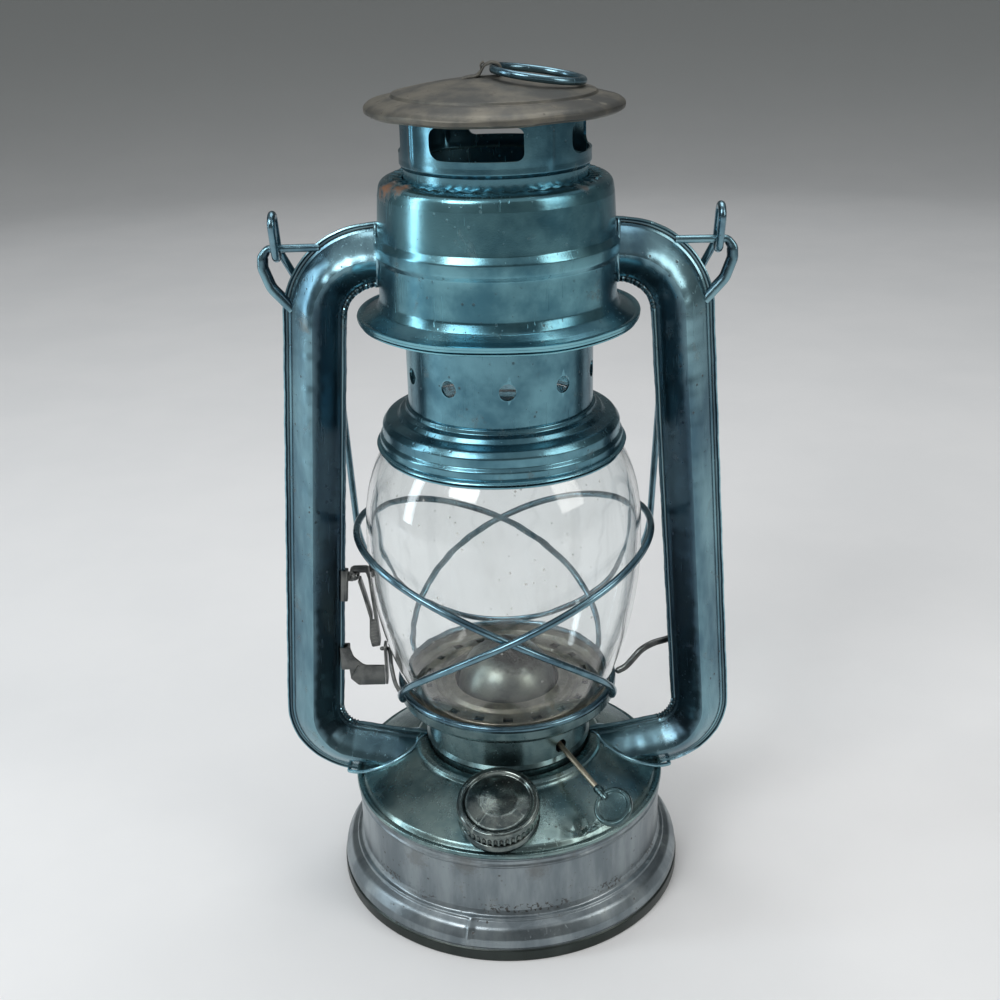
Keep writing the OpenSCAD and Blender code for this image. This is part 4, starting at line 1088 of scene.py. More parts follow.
@dataclass
class SideTubes:
    """The two side tubes, pressed in halves, and the loops on their shoulders."""

    radius: float = 7.6
    half: float = 9.6
    sheet: float = 0.8
    lean: float = 4.156
    slope: float = 14.0
    top_centre: tuple[float, float] = (35.3, 192.0)
    top_bend: float = 19.198
    low_centre: tuple[float, float] = (48.48, 58.9)
    low_bend: float = 15.7
    arm: float = 23.0
    pivot_z: float = 213.7
    ear_x: float = 64.2
    ear_rod: float = 1.3

    def line(self) -> Array:
        """Middle line from the canopy down to the cone: a stretch, a bend, the leg, a bend and the arm."""
        top = arc(self.top_centre, self.top_bend, 90.0, self.lean, 40)
        low = arc(self.low_centre, self.low_bend, self.lean, self.slope - 90.0, 36)
        way = np.array([-math.cos(math.radians(self.slope)), -math.sin(math.radians(self.slope))])
        head = top[0] - np.array([[3.0, 0.0]])
        return dense(np.concatenate([head, top, low, low[-1:] + way * self.arm]), 0.9)

    def outlines(self, path: Array, front: float) -> Array:
        """Outline of one half at each point of the line.

        Round the middle, the radius is the tube's less a share of |sin 2a|, which leaves a crease at the front and
        flatter faces beside it. The seam's edges waver along the line, and buckle on the inside of the bends.

        Args:
            path: the middle line.
            front: 1 for the half that the outline's first axis points to, else -1.

        Returns:
            The outlines, point by point.
        """
        a = np.radians(np.concatenate([np.linspace(-80, -3, 16), [0.0], np.linspace(3, 80, 16)]))
        r = self.radius * (1.0 - 0.19 * np.abs(np.sin(2 * a)))
        crown = np.stack([r * np.cos(a), r * np.sin(a)], axis=1)
        edge = np.array([[0.02, -self.half], [0.6, -self.half + 0.05], [0.78, -self.half + 0.45], [0.36, -8.55],
                         [0.3, -8.05], [0.85, -7.6]])
        face = np.concatenate([edge, crown, (edge * (1.0, -1.0))[::-1]])
        bore = crown[::-1] * (self.radius - self.sheet) / self.radius
        outline = np.concatenate([face, [[0.02, 7.0]], bore[2:-2], [[0.02, -7.0]]])
        steps = np.linalg.norm(np.gradient(path, axis=0), axis=1)
        s = np.cumsum(steps)[:, None]
        turned_by = np.abs(np.gradient(np.unwrap(np.arctan2(*np.gradient(path, axis=0).T)))) / steps
        bent = np.clip(turned_by * 22.0, 0, 1)[:, None]
        shape = np.repeat(outline[None], len(path), axis=0)
        rim = np.clip((np.abs(outline[:, 1]) - 7.9) / 1.2, 0, 1)[None, :]
        waver = ripple(s, ((0.06, 0.35, 0.0), (0.03, 1.1, 1.0), (0.02, 2.1, 2.0)))
        inner = (outline[:, 1] < 0)[None, :]
        shape[..., 1] -= rim * np.sign(outline[:, 1]) * (0.12 + waver)
        shape[..., 0] += rim * inner * bent * 0.45 * np.sin(s * 2.4) * front
        dent = ripple(s, ((0.16, 0.21, 0.5), (0.10, 0.55, 1.7), (0.05, 1.3, 0.2)))
        shape[..., 0] += np.clip(np.abs(outline[:, 0]) / self.radius, 0, 1) * (dent - 0.2)
        shape[..., 0] = np.maximum(shape[..., 0], 0.02) * front
        return shape

    def tube_half(self, side: str, face: str) -> None:
        """One pressed half of one tube: its outline carried along the middle line, wider at both ends."""
        path = self.line()
        sign = -1.0 if side == "left" else 1.0
        front = sign * (1.0 if face == "front" else -1.0)
        line = flat(path, sign)
        s = np.concatenate([[0.0], np.cumsum(np.linalg.norm(np.diff(path, axis=0), axis=1))])
        scale = 1.0 + 0.05 * np.clip(1 - s / 7.0, 0, 1) ** 2 + 0.13 * np.clip(1 - (s[-1] - s) / 22.0, 0, 1) ** 1.5
        middle = self.outward(path, sign)
        piece = swept(f"side_tube_{side}_{face}", line, self.outlines(path, front), middle, scale, sharp=17.0)
        dress(piece, Finish.TUBE, Body.FRAME, Slot.TIN, f"tube_{side}_{face}")

    def outward(self, path: Array, sign: float) -> Array:
        """Direction out of the bends at each point: the line's direction turned a quarter."""
        way = unit(np.gradient(path, axis=0))
        return flat(np.stack([-way[:, 1], way[:, 0]], axis=1), sign)

    def lips(self, side: str) -> None:
        """Rolled lips where a tube meets the canopy and the cone, each a wire along the joint's line.

        Each point of the tube's outline runs on along the tube until it reaches the canopy's wall or the cone.
        """
        sign = -1.0 if side == "left" else 1.0
        a = np.radians(np.linspace(0, 360, 72, endpoint=False))
        across, up = self.radius * 1.02 * np.cos(a), (self.radius + 0.9 * np.abs(np.sin(a)) ** 6) * 1.02 * np.sin(a)
        z = self.top_centre[1] + self.top_bend + up
        x = np.sqrt(np.maximum(35.1**2 - across**2, 0.0))
        top = wire("top", np.stack([x * sign, across, z], 1), 0.55, (0.0, 0.3, 1.0), True, 10)
        dress(top, Finish.TUBE, Body.FRAME, Slot.TIN)
        top.name = f"canopy_lip_{side}"
        way = np.array([-math.cos(math.radians(self.slope)), 0.0, -math.sin(math.radians(self.slope))])
        out = np.array([-way[2], 0.0, way[0]])
        start = flat(arc(self.low_centre, self.low_bend, self.slope - 90, self.slope - 90, 1))[0]
        wide = 1.12
        base = start - np.outer(up * wide, -out) + np.outer(across * wide, [0.0, 1.0, 0.0])
        lengths = np.linspace(0.0, 30.0, 600)
        ray = base[:, None, :] + lengths[None, :, None] * way
        r = np.hypot(ray[..., 0], ray[..., 1])
        cone = np.interp(r, [26.9, 29.9, 31.1, 48.9, 50.2, 51.5], [47.3, 47.6, 46.0, 37.4, 36.0, 36.0])
        hit = np.argmax((ray[..., 2] < cone) | (r < 26.6), axis=1)
        rim = ray[np.arange(len(a)), hit]
        rim[:, 0] *= sign
        rim = np.stack([np.convolve(np.tile(rim[:, i], 3), np.ones(5) / 5, "same")[72:144] for i in range(3)], 1)
        low = wire(f"cone_lip_{side}", rim, 0.7, (0.0, 0.0, 1.0), True, 10)
        dress(low, Finish.TUBE, Body.FRAME, Slot.TIN)

    def ear(self, side: str) -> None:
        """Loop that carries the bail: a grooved rod from the tube's shoulder, out and back down to its seam.

        At angle a round the rod, the radius loses 0.42 of itself under a bell curve at the groove. The rod is thin
        where the bail hangs and wider in the loop.
        """
        sign = -1.0 if side == "left" else 1.0
        x, z = self.ear_x, self.pivot_z
        corners = [(x - 12.5, z + 0.1), (x + 2.6, z, 2.0), (x + 4.3, z - 2.2, 2.5), (x + 4.5, z - 5.6, 4.0),
                   (x + 2.4, z - 11.6, 6.0), (x - 2.0, z - 16.6, 3.0), (x - 3.4, z - 18.2)]
        path = dense(rounded(corners, 8), 0.6)
        a = TAU * np.arange(28) / 28
        groove = 1.0 - 0.42 * hump(a, math.pi / 2, 0.5)
        outline = self.ear_rod * groove[:, None] * np.stack([np.cos(a) * 1.05, np.sin(a)], axis=1)
        s = np.concatenate([[0.0], np.cumsum(np.linalg.norm(np.diff(path, axis=0), axis=1))])
        scale = 0.98 + 0.42 * np.clip((s - 14.5) / 4.0, 0, 1)
        piece = swept(f"bail_loop_{side}", flat(path, sign), outline, self.outward(path, sign), scale)
        dress(piece, Finish.TUBE, Body.FRAME, Slot.TIN, f"ear_{side}")

    def build(self) -> None:
        """Makes or keeps its pieces."""
        for side in ("left", "right"):
            for face in ("front", "back"):
                self.tube_half(side, face)
            self.lips(side)
            self.ear(side)


@dataclass
class Canopy:
    """Hood with its guide plate and the spring inside."""

    wall_r: float = 34.9
    foot_z: float = 193.0
    spring_r: float = 29.2
    spring_wire: float = 0.6
    spring_foot: float = 204.7
    spring_half: float = 219.3
    spring_head: float = 232.0
    turns: int = 6

    def hood(self) -> None:
        """Hood: a turned sheet with a rolled rim, a flared skirt, a swelled band and a rounded shoulder.

        The top's inner edge is crimped by a sine, and shallow waves in angle keep it from being quite round.
        """
        rim = arc((41.1, 193.0), 0.9, 250.0, 40.0, 10)
        path = rounded([*rim[:1], *rim[1:], (38.6, 195.0, 4.0), (36.0, 196.6, 1.5), (34.9, 199.2, 2.5), (34.9, 210.6, 0.8),
                        (35.75, 212.2, 1.5), (35.8, 215.4, 1.5), (34.7, 217.4, 0.9), (34.0, 229.0, 2.0),
                        (33.4, 232.6, 2.4), (30.6, 233.6, 0.6), (30.0, 234.0, 0.3), (28.0, 233.9, 0.4), (26.9, 233.7)], 5)

        def warp(t: Array, r: Array, z: Array) -> tuple[Array, Array]:
            crimp = np.clip((31.2 - r) / 0.8, 0, 1) * np.clip((z - 232.6) / 0.5, 0, 1)
            swell = ripple(t, ((0.14, 2, 0.4), (0.09, 5, 2.0), (0.05, 9, 1.1)))
            lip = ripple(t, ((0.16, 3, 0.8), (0.10, 7, 0.1))) * np.clip((r - 36.5) / 4.0, 0, 1)
            return r - np.abs(swell), z + crimp * 0.22 * np.sin(46 * t + np.sin(3 * t)) - crimp * 0.2 + lip

        hood = turned("canopy_hood", sheet(path, 0.7, 1.3), 368, warp)
        dress(hood, Finish.HOOD, Body.FRAME, Slot.TIN, "canopy")

    def coil(self, name: str, foot: float, head: float, body: Body, joint: str, lift: float, *nodes: str) -> None:
        """One end of the coil spring: at angle a the wire's middle is (r cos a, r sin a), its height in step with a.

        Args:
            name: name of the piece.
            foot: height of its lower end.
            head: height of its upper end.
            body: the body it rides on.
            joint: not used.
            lift: not used.
            nodes: the CAD nodes that it stands for.
        """
        z = np.linspace(foot, head, 48 * self.turns // 2 + 1)
        a = TAU * self.turns * (z - self.spring_foot) / (self.spring_head - self.spring_foot)
        path = np.stack([self.spring_r * np.cos(a), self.spring_r * np.sin(a), z], axis=1)
        coil = wire(name, path, self.spring_wire, sides=10)
        dress(coil, Finish.WIRE, body, Slot.WIRE, *nodes)
        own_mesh(coil)

    def spring(self) -> None:
        """Coil spring in two lengths: the upper one rides on the frame and the lower one on the carrier."""
        self.coil("lift_spring_top", self.spring_half, self.spring_head, Body.FRAME, "carrier_lift", 9.0,
                  "chimney_spring")
        self.coil("lift_spring_foot", self.spring_foot, self.spring_half, Body.CARRIER, "chimney_lift", 12.0)

    def build(self) -> None:
        """Makes or keeps its pieces."""
        self.hood()
        keep("canopy_floor", Finish.HOOD)
        self.spring()


@dataclass
class Chimney:
    """Sliding tube with the globe's top plate, the vent collar, the cap and its ring."""

    plate_r: float = 37.2
    tube_r: float = 28.0
    tube_foot: float = 165.2
    seat_z: float = 203.0
    hole_z: float = 177.4
    hole_r: float = 2.5
    holes: int = 10
    vent_r: float = 27.8
    window: tuple[float, float] = (26.0, 8.7)
    window_z: float = 245.4
    window_turn: float = -12.0
    hinge_z: float = 262.4
    ring_r: float = 13.0
    ring_wire: float = 1.1
    ring_rest: float = 8.4
    pin_half: float = 4.5

    def plate(self) -> None:
        """Top plate of the globe: a turned sheet with a rolled rim, two steps and a ledge up to the tube."""
        rim = arc((self.plate_r, 153.0), 0.85, 260.0, 20.0, 8)
        path = rounded([*rim, (37.1, 154.6, 0.5), (37.1, 156.6, 1.0), (36.2, 157.6, 0.6), (36.2, 160.4, 1.4),
                        (34.9, 162.2, 1.2), (31.6, 162.9, 1.0), (30.6, 164.4, 0.7), (29.0, 165.0, 0.5), (28.9, 166.4, 0.6),
                        (28.1, 166.5)], 5)

        def warp(t: Array, r: Array, z: Array) -> tuple[Array, Array]:
            return r - np.abs(ripple(t, ((0.07, 3, 0.2), (0.05, 8, 1.0)))), z

        dress(turned("globe_top_plate", sheet(path, 0.7, 1.0), 320, warp), Finish.COLLAR, Body.CHIMNEY, Slot.TIN,
              "globe_plate")

    def tube(self) -> None:
        """Chimney tube: a turned sheet with a lapped seam at the back, cut by a ring of round holes."""
        path = dense(np.array([[self.tube_r, self.tube_foot], [self.tube_r, self.seat_z]]), 1.6)

        def warp(t: Array, r: Array, z: Array) -> tuple[Array, Array]:
            off = np.mod(t - 1.2, TAU)
            return r - 0.25 * np.clip(1.0 - off / 0.12, 0, 1) - np.abs(ripple(t, ((0.06, 2, 0.5), (0.05, 7, 1.0)))), z

        tube = turned("chimney_wall", sheet(path, 0.7, 1.6), 288, warp)
        bores = []
        for i in range(self.holes):
            q = TAU * i / self.holes + math.radians(-86.0)
            ends = np.array([[r * math.cos(q), r * math.sin(q), self.hole_z] for r in (24.0, 31.0)])
            bores.append(swept("bore", ends, self.hole_r * np.stack([np.cos(TAU * np.arange(32) / 32),
                                                                     np.sin(TAU * np.arange(32) / 32)], 1),
                               np.array([0.0, 0.0, 1.0])))
        cut(tube, [joined("bores", bores)])
        dress(tube, Finish.COLLAR, Body.CHIMNEY, Slot.TIN, "chimney_tube")

    def vent(self) -> None:
        """Vent collar: a turned sheet with pressed ribs between its four windows and a rounded foot."""
        path = rounded([(26.3, 236.5), (27.2, 236.4, 0.5), (27.8, 237.6, 0.9), (27.75, 239.2, 0.8), (self.vent_r, 241.0),
                        (self.vent_r, 255.3)], 5)

        def warp(t: Array, r: Array, z: Array) -> tuple[Array, Array]:
            ribs = sum(hump(t, math.radians(self.window_turn + 45.0 + 90.0 * i), 0.035) for i in range(4))
            return r + 0.45 * ribs * np.clip((z - 238.0) / 2.5, 0, 1) - 0.45, z

        collar = turned("vent_wall", sheet(path, 0.7, 1.0), 576, warp)
        w, h = self.window
        frame_line = rounded([(w / 2, 0.0), (w / 2, h / 2, 2.9), (-w / 2, h / 2, 2.9), (-w / 2, -h / 2, 3.4),
                              (w / 2, -h / 2, 3.4), (w / 2, 0.0)], 6)[1:]
        tools = []
        for i in range(4):
            turn = Matrix.Rotation(math.radians(self.window_turn + 90.0 * i), 4, "Z")
            place = turn @ Matrix.Translation((0.0, 0.0, self.window_z)) @ Matrix.Rotation(math.radians(90.0), 4, "X")
            tools.append(slab(f"window_{i}", frame_line, 14.0, 32.0, place, 0.0))
        cut(collar, tools)
        dress(collar, Finish.COLLAR, Body.CHIMNEY, Slot.TIN, "vent_collar")

    def cap(self) -> None:
        """Cap: a turned sheet, domed inside a pressed step, with a brim that rolls under and wavers a little."""
        r = np.linspace(0.0, 28.0, 30)
        dome = np.stack([r, 260.3 - 3.7 * (r / 28.0) ** 1.7], axis=1)
        rest = rounded([tuple(dome[-1]), (28.6, 256.5, 0.4), (29.0, 255.7, 0.3), (30.2, 255.55, 0.8), (35.4, 254.1, 4.0),
                        (36.75, 253.0, 0.8), (36.6, 251.7, 0.6), (35.4, 251.0)], 5)
        path = np.concatenate([dome, rest[1:]])

        def warp(t: Array, rr: Array, z: Array) -> tuple[Array, Array]:
            edge = np.clip((rr - 29.0) / 7.0, 0, 1)
            return rr - edge * np.abs(ripple(t, ((0.15, 3, 1.0), (0.1, 7, 0.2)))), z + edge * ripple(
                t, ((0.22, 2, 2.2), (0.14, 5, 0.6), (0.08, 11, 1.0)))

        dress(turned("cap_lid", sheet(path, -0.8, 1.2), 320, warp), Finish.CAP, Body.CHIMNEY, Slot.DARK, "cap")

    def clip(self) -> None:
        """Clip of the ring: a bent strip with a torn tab, drawn as a thin outline and given its width."""
        back = Matrix.Rotation(math.radians(90.0), 4, "X")
        strap = rounded([(-8.6, 259.5), (-6.6, 260.0, 1.0), (-5.2, 260.0, 0.8), (-3.6, 260.7, 0.8), (-2.3, 263.0, 0.9),
                         (-0.4, 263.75, 1.2), (1.6, 263.2, 1.2), (1.9, 261.7, 0.9), (1.3, 260.5)], 6)
        tab = rounded([(-4.3, 260.6), (-3.0, 261.8, 0.8), (-3.3, 263.5, 0.5), (-2.5, 263.8)], 5)
        bent = slab("strap", sheet(strap, 0.55, 0.8), -2.6, 2.6, back, 0.12)
        torn = slab("tab", sheet(tab, 0.5, 0.6), -1.9, 1.2, back, 0.12)
        dress(joined("ring_strap", [bent, torn]), Finish.CAP, Body.CHIMNEY, Slot.DARK, "ring_clip")

    def ring(self) -> None:
        """Lifting ring: a wire along a circle that is closed by a straight pin through the clip."""
        opening = math.asin(self.pin_half / self.ring_r)
        a = np.linspace(math.pi - opening, opening - math.pi, 97)
        loop = np.stack([self.ring_r * (math.cos(opening) + np.cos(a)), self.ring_r * np.sin(a), 0 * a], axis=1)
        y = np.linspace(-self.pin_half, self.pin_half, 9)[1:-1]
        path = np.concatenate([loop, np.stack([0 * y, y, 0 * y], axis=1)])
        ring = wire("ring_wire", path, self.ring_wire - 0.02, (0.0, 0.0, 1.0), True, 18)
        turn = Matrix.Rotation(math.radians(self.ring_rest), 4, "Y")
        placed(ring, Matrix.Translation((0.0, 0.0, self.hinge_z)) @ turn)
        dress(ring, Finish.WIRE, Body.RING, Slot.WIRE, "lifting_ring")

    def build(self) -> None:
        """Makes or keeps its pieces."""
        self.plate()
        self.tube()
        self.vent()
        self.cap()
        self.clip()
        self.ring()
        for node in ("spring_seat", "vent_neck"):
            keep(node, Finish.COLLAR)


@dataclass
class Carrier:
    """Gallery with the globe, its guard wires and the lift bracket."""

    rim_r: float = 34.9
    rim_z: float = 70.6
    floor_z: float = 66.2
    belly_r: float = 43.35
    belly_z: float = 120.0
    foot_glass_r: float = 31.3
    neck_glass_r: float = 33.4
    globe_top: float = 162.3
    glass: float = 1.8
    wire_r: float = 1.15
    guard_top: float = 125.0
    guard_off: float = 2.95
    guard_reach: float = 155.0
    slots: int = 18

    def gallery(self) -> None:
        """Gallery: a round rim, a stepped dish cut by a ring of slots, and a hood down to the burner's collar."""
        rim = turned("gallery_rim", self.rim_r * np.array([[1.0, 0.0]]) + arc((0.0, self.rim_z), 1.0, 0, 345, 23), 256)
        dress(rim, Finish.WIRE, Body.CARRIER, Slot.TIN)
        dish_line = rounded([(17.4, 69.8), (20.4, 69.5, 0.8), (21.6, 68.4, 0.5), (23.0, 68.3, 0.5), (23.8, 69.2, 0.4),
                             (28.3, 69.2, 0.5), (28.9, 66.5, 0.5), (32.6, 66.2, 0.8), (34.2, 67.3, 0.5), (34.4, 70.2)], 5)
        dish = turned("gallery_dish", sheet(dish_line, -0.7, 0.9), 256)
        tools = []
        slot = np.array([(1.1, -1.5), (1.1, 1.5), (-1.1, 1.5), (-1.1, -1.5)])
        for i in range(self.slots):
            turn = Matrix.Rotation(TAU * (i + 0.5) / self.slots, 4, "Z") @ Matrix.Translation((26.2, 0.0, 0.0))
            tools.append(slab(f"slot_{i}", slot, 67.0, 71.0, turn, 0.0))
        cut(dish, [joined("slots", tools)])
        dress(dish, Finish.DISH, Body.CARRIER, Slot.TIN, "gallery")
        hood_line = rounded([(27.0, 60.6), (27.0, 62.0, 0.5), (29.8, 64.2, 1.5), (33.4, 65.5, 1.0), (35.0, 66.9, 1.0),
                             (35.15, 69.7)], 5)
        # The hood is dressed dark as painted shade under the gallery's rim.
        dress(turned("gallery_hood", sheet(hood_line, -0.7, 0.9), 256), Finish.DARK_TEAL_AND_PAINTED_SHADE, Body.CARRIER, Slot.TIN)

    def globe(self) -> None:
        """Globe: a turned wall of glass whose radius is a power curve below and above its belly.

        Below, r is the belly's less the rest times t to the 2.1; above, times t to the 2.78, with t the share of
        the way. Both rims are rounded, and long shallow waves leave the surface a little uneven.
        """
        t = np.linspace(1.0, 0.0, 40)
        low = np.stack([self.belly_r - (self.belly_r - self.foot_glass_r) * t**2.1,
                        self.belly_z - (self.belly_z - self.floor_z) * t], 1)
        t = np.linspace(0.0, 1.0, 28)[1:]
        high = np.stack([self.belly_r - (self.belly_r - self.neck_glass_r - 0.4) * t**2.78,
                         self.belly_z + 36.0 * t], 1)
        path = np.concatenate([low, high, [[self.neck_glass_r, 157.5], [self.neck_glass_r, 159.8]],
                               [[self.neck_glass_r - 0.1, self.globe_top - 0.5]]])

        def warp(t: Array, r: Array, z: Array) -> tuple[Array, Array]:
            wave = ripple(t, ((0.09, 3, 0.3), (0.05, 8, 1.7))) * np.sin(z * 0.09) + 0.03 * np.sin(z * 0.5 + 2 * t)
            return r - np.abs(wave) * np.clip((z - 72.0) / 12.0, 0, 1) * np.clip((150.0 - z) / 12.0, 0, 1), z

        dress(turned("globe_glass", sheet(path, self.glass - 0.15, 1.5), 256, warp, 60.0), Finish.GLASS, Body.CARRIER,
              Slot.GLASS, "globe")

    def guard(self, name: str, node: str, turn: float, bulge: float) -> None:
        """Guard wire: at angle a from its highest point its height falls with the square of a's share of its reach.

        Its radius stays beside the belly and falls to the rim's with the seventh power of that share.
        """
        a = np.linspace(-self.guard_reach, self.guard_reach, 161)
        share = np.abs(a) / self.guard_reach
        side, foot = self.belly_r + self.guard_off, 35.9 + self.wire_r
        r = side + bulge * np.sin(np.radians(a)) ** 2 * (1 - share**7) - (side - foot) * share**7
        z = self.guard_top - (self.guard_top - self.rim_z) * share**2
        q = np.radians(a + turn)
        path = np.stack([r * np.cos(q), r * np.sin(q), z], axis=1)
        out = np.stack([np.cos(q), np.sin(q), 0 * q + 0.2], axis=1)
        dress(wire(name, path, self.wire_r - 0.02, out), Finish.WIRE, Body.CARRIER, Slot.WIRE, node)

    def small_wires(self) -> None:
        """Guide wire round the right tube and link wire to the lift bracket, each along a smooth curve."""
        guide = curve_through([(37.0, 0.2, 70.2), (39.4, 0.3, 71.6), (41.8, 0.6, 74.3), (44.6, 1.3, 77.2),
                               (48.6, 2.6, 78.9), (53.6, 4.9, 79.1), (57.4, 8.2, 79.0), (61.5, 9.05, 79.0),
                               (68.0, 8.9, 79.0), (71.2, 6.6, 79.0)], 0.8)
        dress(wire("guide_hook", guide, 1.1, (0.0, 0.0, 1.0)), Finish.CLIP, Body.CARRIER, Slot.WIRE, "guide_wire")
        link = curve_through([(-34.8, -11.3, 70.6), (-36.4, -9.6, 73.4), (-37.6, -6.2, 77.6), (-38.1, -2.2, 79.9),
                              (-38.8, 0.2, 80.35), (-41.0, 0.5, 80.3)], 0.6)
        dress(wire("link_hook", link, 0.68, (1.0, 0.0, 1.0)), Finish.CLIP, Body.CARRIER, Slot.WIRE, "link_wire")

    def bracket(self) -> None:
        """Lift bracket: a strip folded round the tube's seam, an arm with a pressed crease, and an upright tab."""
        arm_line = rounded([(-54.3, 74.2), (-54.3, 82.0, 0.5), (-51.2, 82.0, 0.8), (-50.2, 78.6, 3.0),
                            (-47.0, 75.4, 3.0), (-40.3, 75.2), (-40.3, 68.0), (-49.2, 68.0, 0.8), (-51.6, 70.4, 0.8),
                            (-51.9, 74.2, 0.4)], 6)
        arm = slab("arm", arm_line, 1.1, 1.9, LEVEL, 0.2)
        fold = rounded([(-54.4, -1.86), (-51.4, -1.86, 0.7), (-51.4, 1.86, 0.7), (-54.4, 1.86)], 6)
        clasp = slab("clasp", sheet(fold, 0.76, 0.8), 74.0, 82.0)
        tab_line = rounded([(0.5, 68.0), (3.0, 68.0, 0.8), (3.0, 82.5, 1.6), (-1.9, 82.5, 1.6), (-1.9, 68.0, 0.4),
                            (0.3, 68.0)], 6)
        tab = slab("tab", tab_line, -40.2, -39.4, SIDEWAYS, 0.18)
        cut(tab, [wire("bore", np.array([[-43.0, 0.5, 80.3], [-37.0, 0.5, 80.3]]), 0.95, sides=24)])
        crease_line = np.array([[-51.4, -1.93, 71.2], [-50.1, -1.97, 73.3], [-48.7, -1.93, 75.6]])
        pressed = wire("pressed", dense(crease_line, 0.6), 0.24)
        dress(joined("lift_plate", [arm, clasp, tab, pressed]), Finish.CLIP, Body.CARRIER, Slot.DARK, "lift_bracket")

    def build(self) -> None:
        """Makes or keeps its pieces."""
        self.gallery()
        self.globe()
        self.guard("guard_hoop_a", "guard_wire_a", 0.0, 0.8)
        self.guard("guard_hoop_b", "guard_wire_b", 180.0, -1.6)
        self.small_wires()
        self.bracket()


@dataclass
class Catch:
    """Catch on the left tube: a clip folded round its seam, and a springy strip that hangs from the clip's pin."""

    place: tuple[float, float, float] = (-60.87, 0.0, 105.0)
    lean: float = 4.156
    pin: tuple[float, float] = (12.2, 2.6)
    pin_seen: tuple[float, float] = (-48.51, 106.71)
    strip_y: tuple[float, float] = (1.6, 5.6)
    ridges: int = 7

    def clip(self) -> None:
        """Clip: a folded strip, a lug with a rounded end, and a pin with a domed head."""
        fold = rounded([(8.2, -1.38), (10.38, -1.38, 0.6), (10.38, 1.38, 0.6), (8.2, 1.38)], 6)
        clasp = slab("clasp", sheet(fold, 0.76, 0.7), -5.4, 5.4)
        x, z = self.pin
        lug_line = rounded([(10.0, 1.0), (x - 0.4, 0.9, 0.8), (x + 1.5, z, 1.4), (x - 0.4, 4.3, 0.8), (10.0, 4.2)], 6)
        lug = slab("lug", lug_line, -1.36, -0.62, LEVEL)
        pin = wire("pin", np.array([[x, 0.7, z], [x, 5.85, z]]), 0.9, sides=24)
        head = turned("head", rounded([(0.0, 0.65), (0.9, 0.55, 0.5), (1.45, 0.0, 0.1), (0.0, -0.1)], 4), 32)
        placed(head, Matrix.Translation((x, 0.6, z)) @ LEVEL)
        place = Matrix.Translation(self.place) @ Matrix.Rotation(math.radians(self.lean), 4, "Y")
        clip = placed(joined("seam_clip", [clasp, lug, pin, head]), place)
        dress(clip, Finish.CLIP, Body.FRAME, Slot.DARK, "catch_clip")

    def strip(self) -> None:
        """Strip: curled round the pin, over and down beside the globe, folded at its foot and back up again."""
        curl = arc(self.pin_seen, 1.76, 330.0, 90.0, 16)
        rest = rounded([tuple(curl[-1]), (-44.15, 108.45, 1.2), (-43.4, 105.6, 3.0), (-42.5, 94.7, 8.0),
                        (-41.5, 80.8, 0.5), (-44.3, 80.3, 0.5), (-44.9, 84.0, 2.0), (-44.5, 91.0, 5.0),
                        (-46.2, 99.0, 6.0), (-47.5, 104.4)], 6)
        near, far = self.strip_y
        strap = slab("strap", sheet(np.concatenate([curl, rest[1:]]), -0.78, 0.8), -far, -near, LEVEL, 0.12)
        grip_line = rounded([(-44.0, 80.5), (-42.0, 80.8, 0.3), (-42.7, 90.4, 0.5), (-44.3, 90.2, 0.5), (-44.5, 84.0)], 4)
        parts = [strap, slab("grip", grip_line, -2.5, -near - 0.05, LEVEL, 0.1)]
        for z in np.linspace(82.0, 89.4, self.ridges):
            parts.append(wire("ridge", np.array([[-44.2, near + 0.03, z], [-42.5, near + 0.03, z + 0.4]]), 0.2))
        dress(joined("catch_spring", parts), Finish.CLIP, Body.CATCH, Slot.DARK, "catch_strip")

    def build(self) -> None:
        """Makes its pieces."""
        self.clip()
        self.strip()


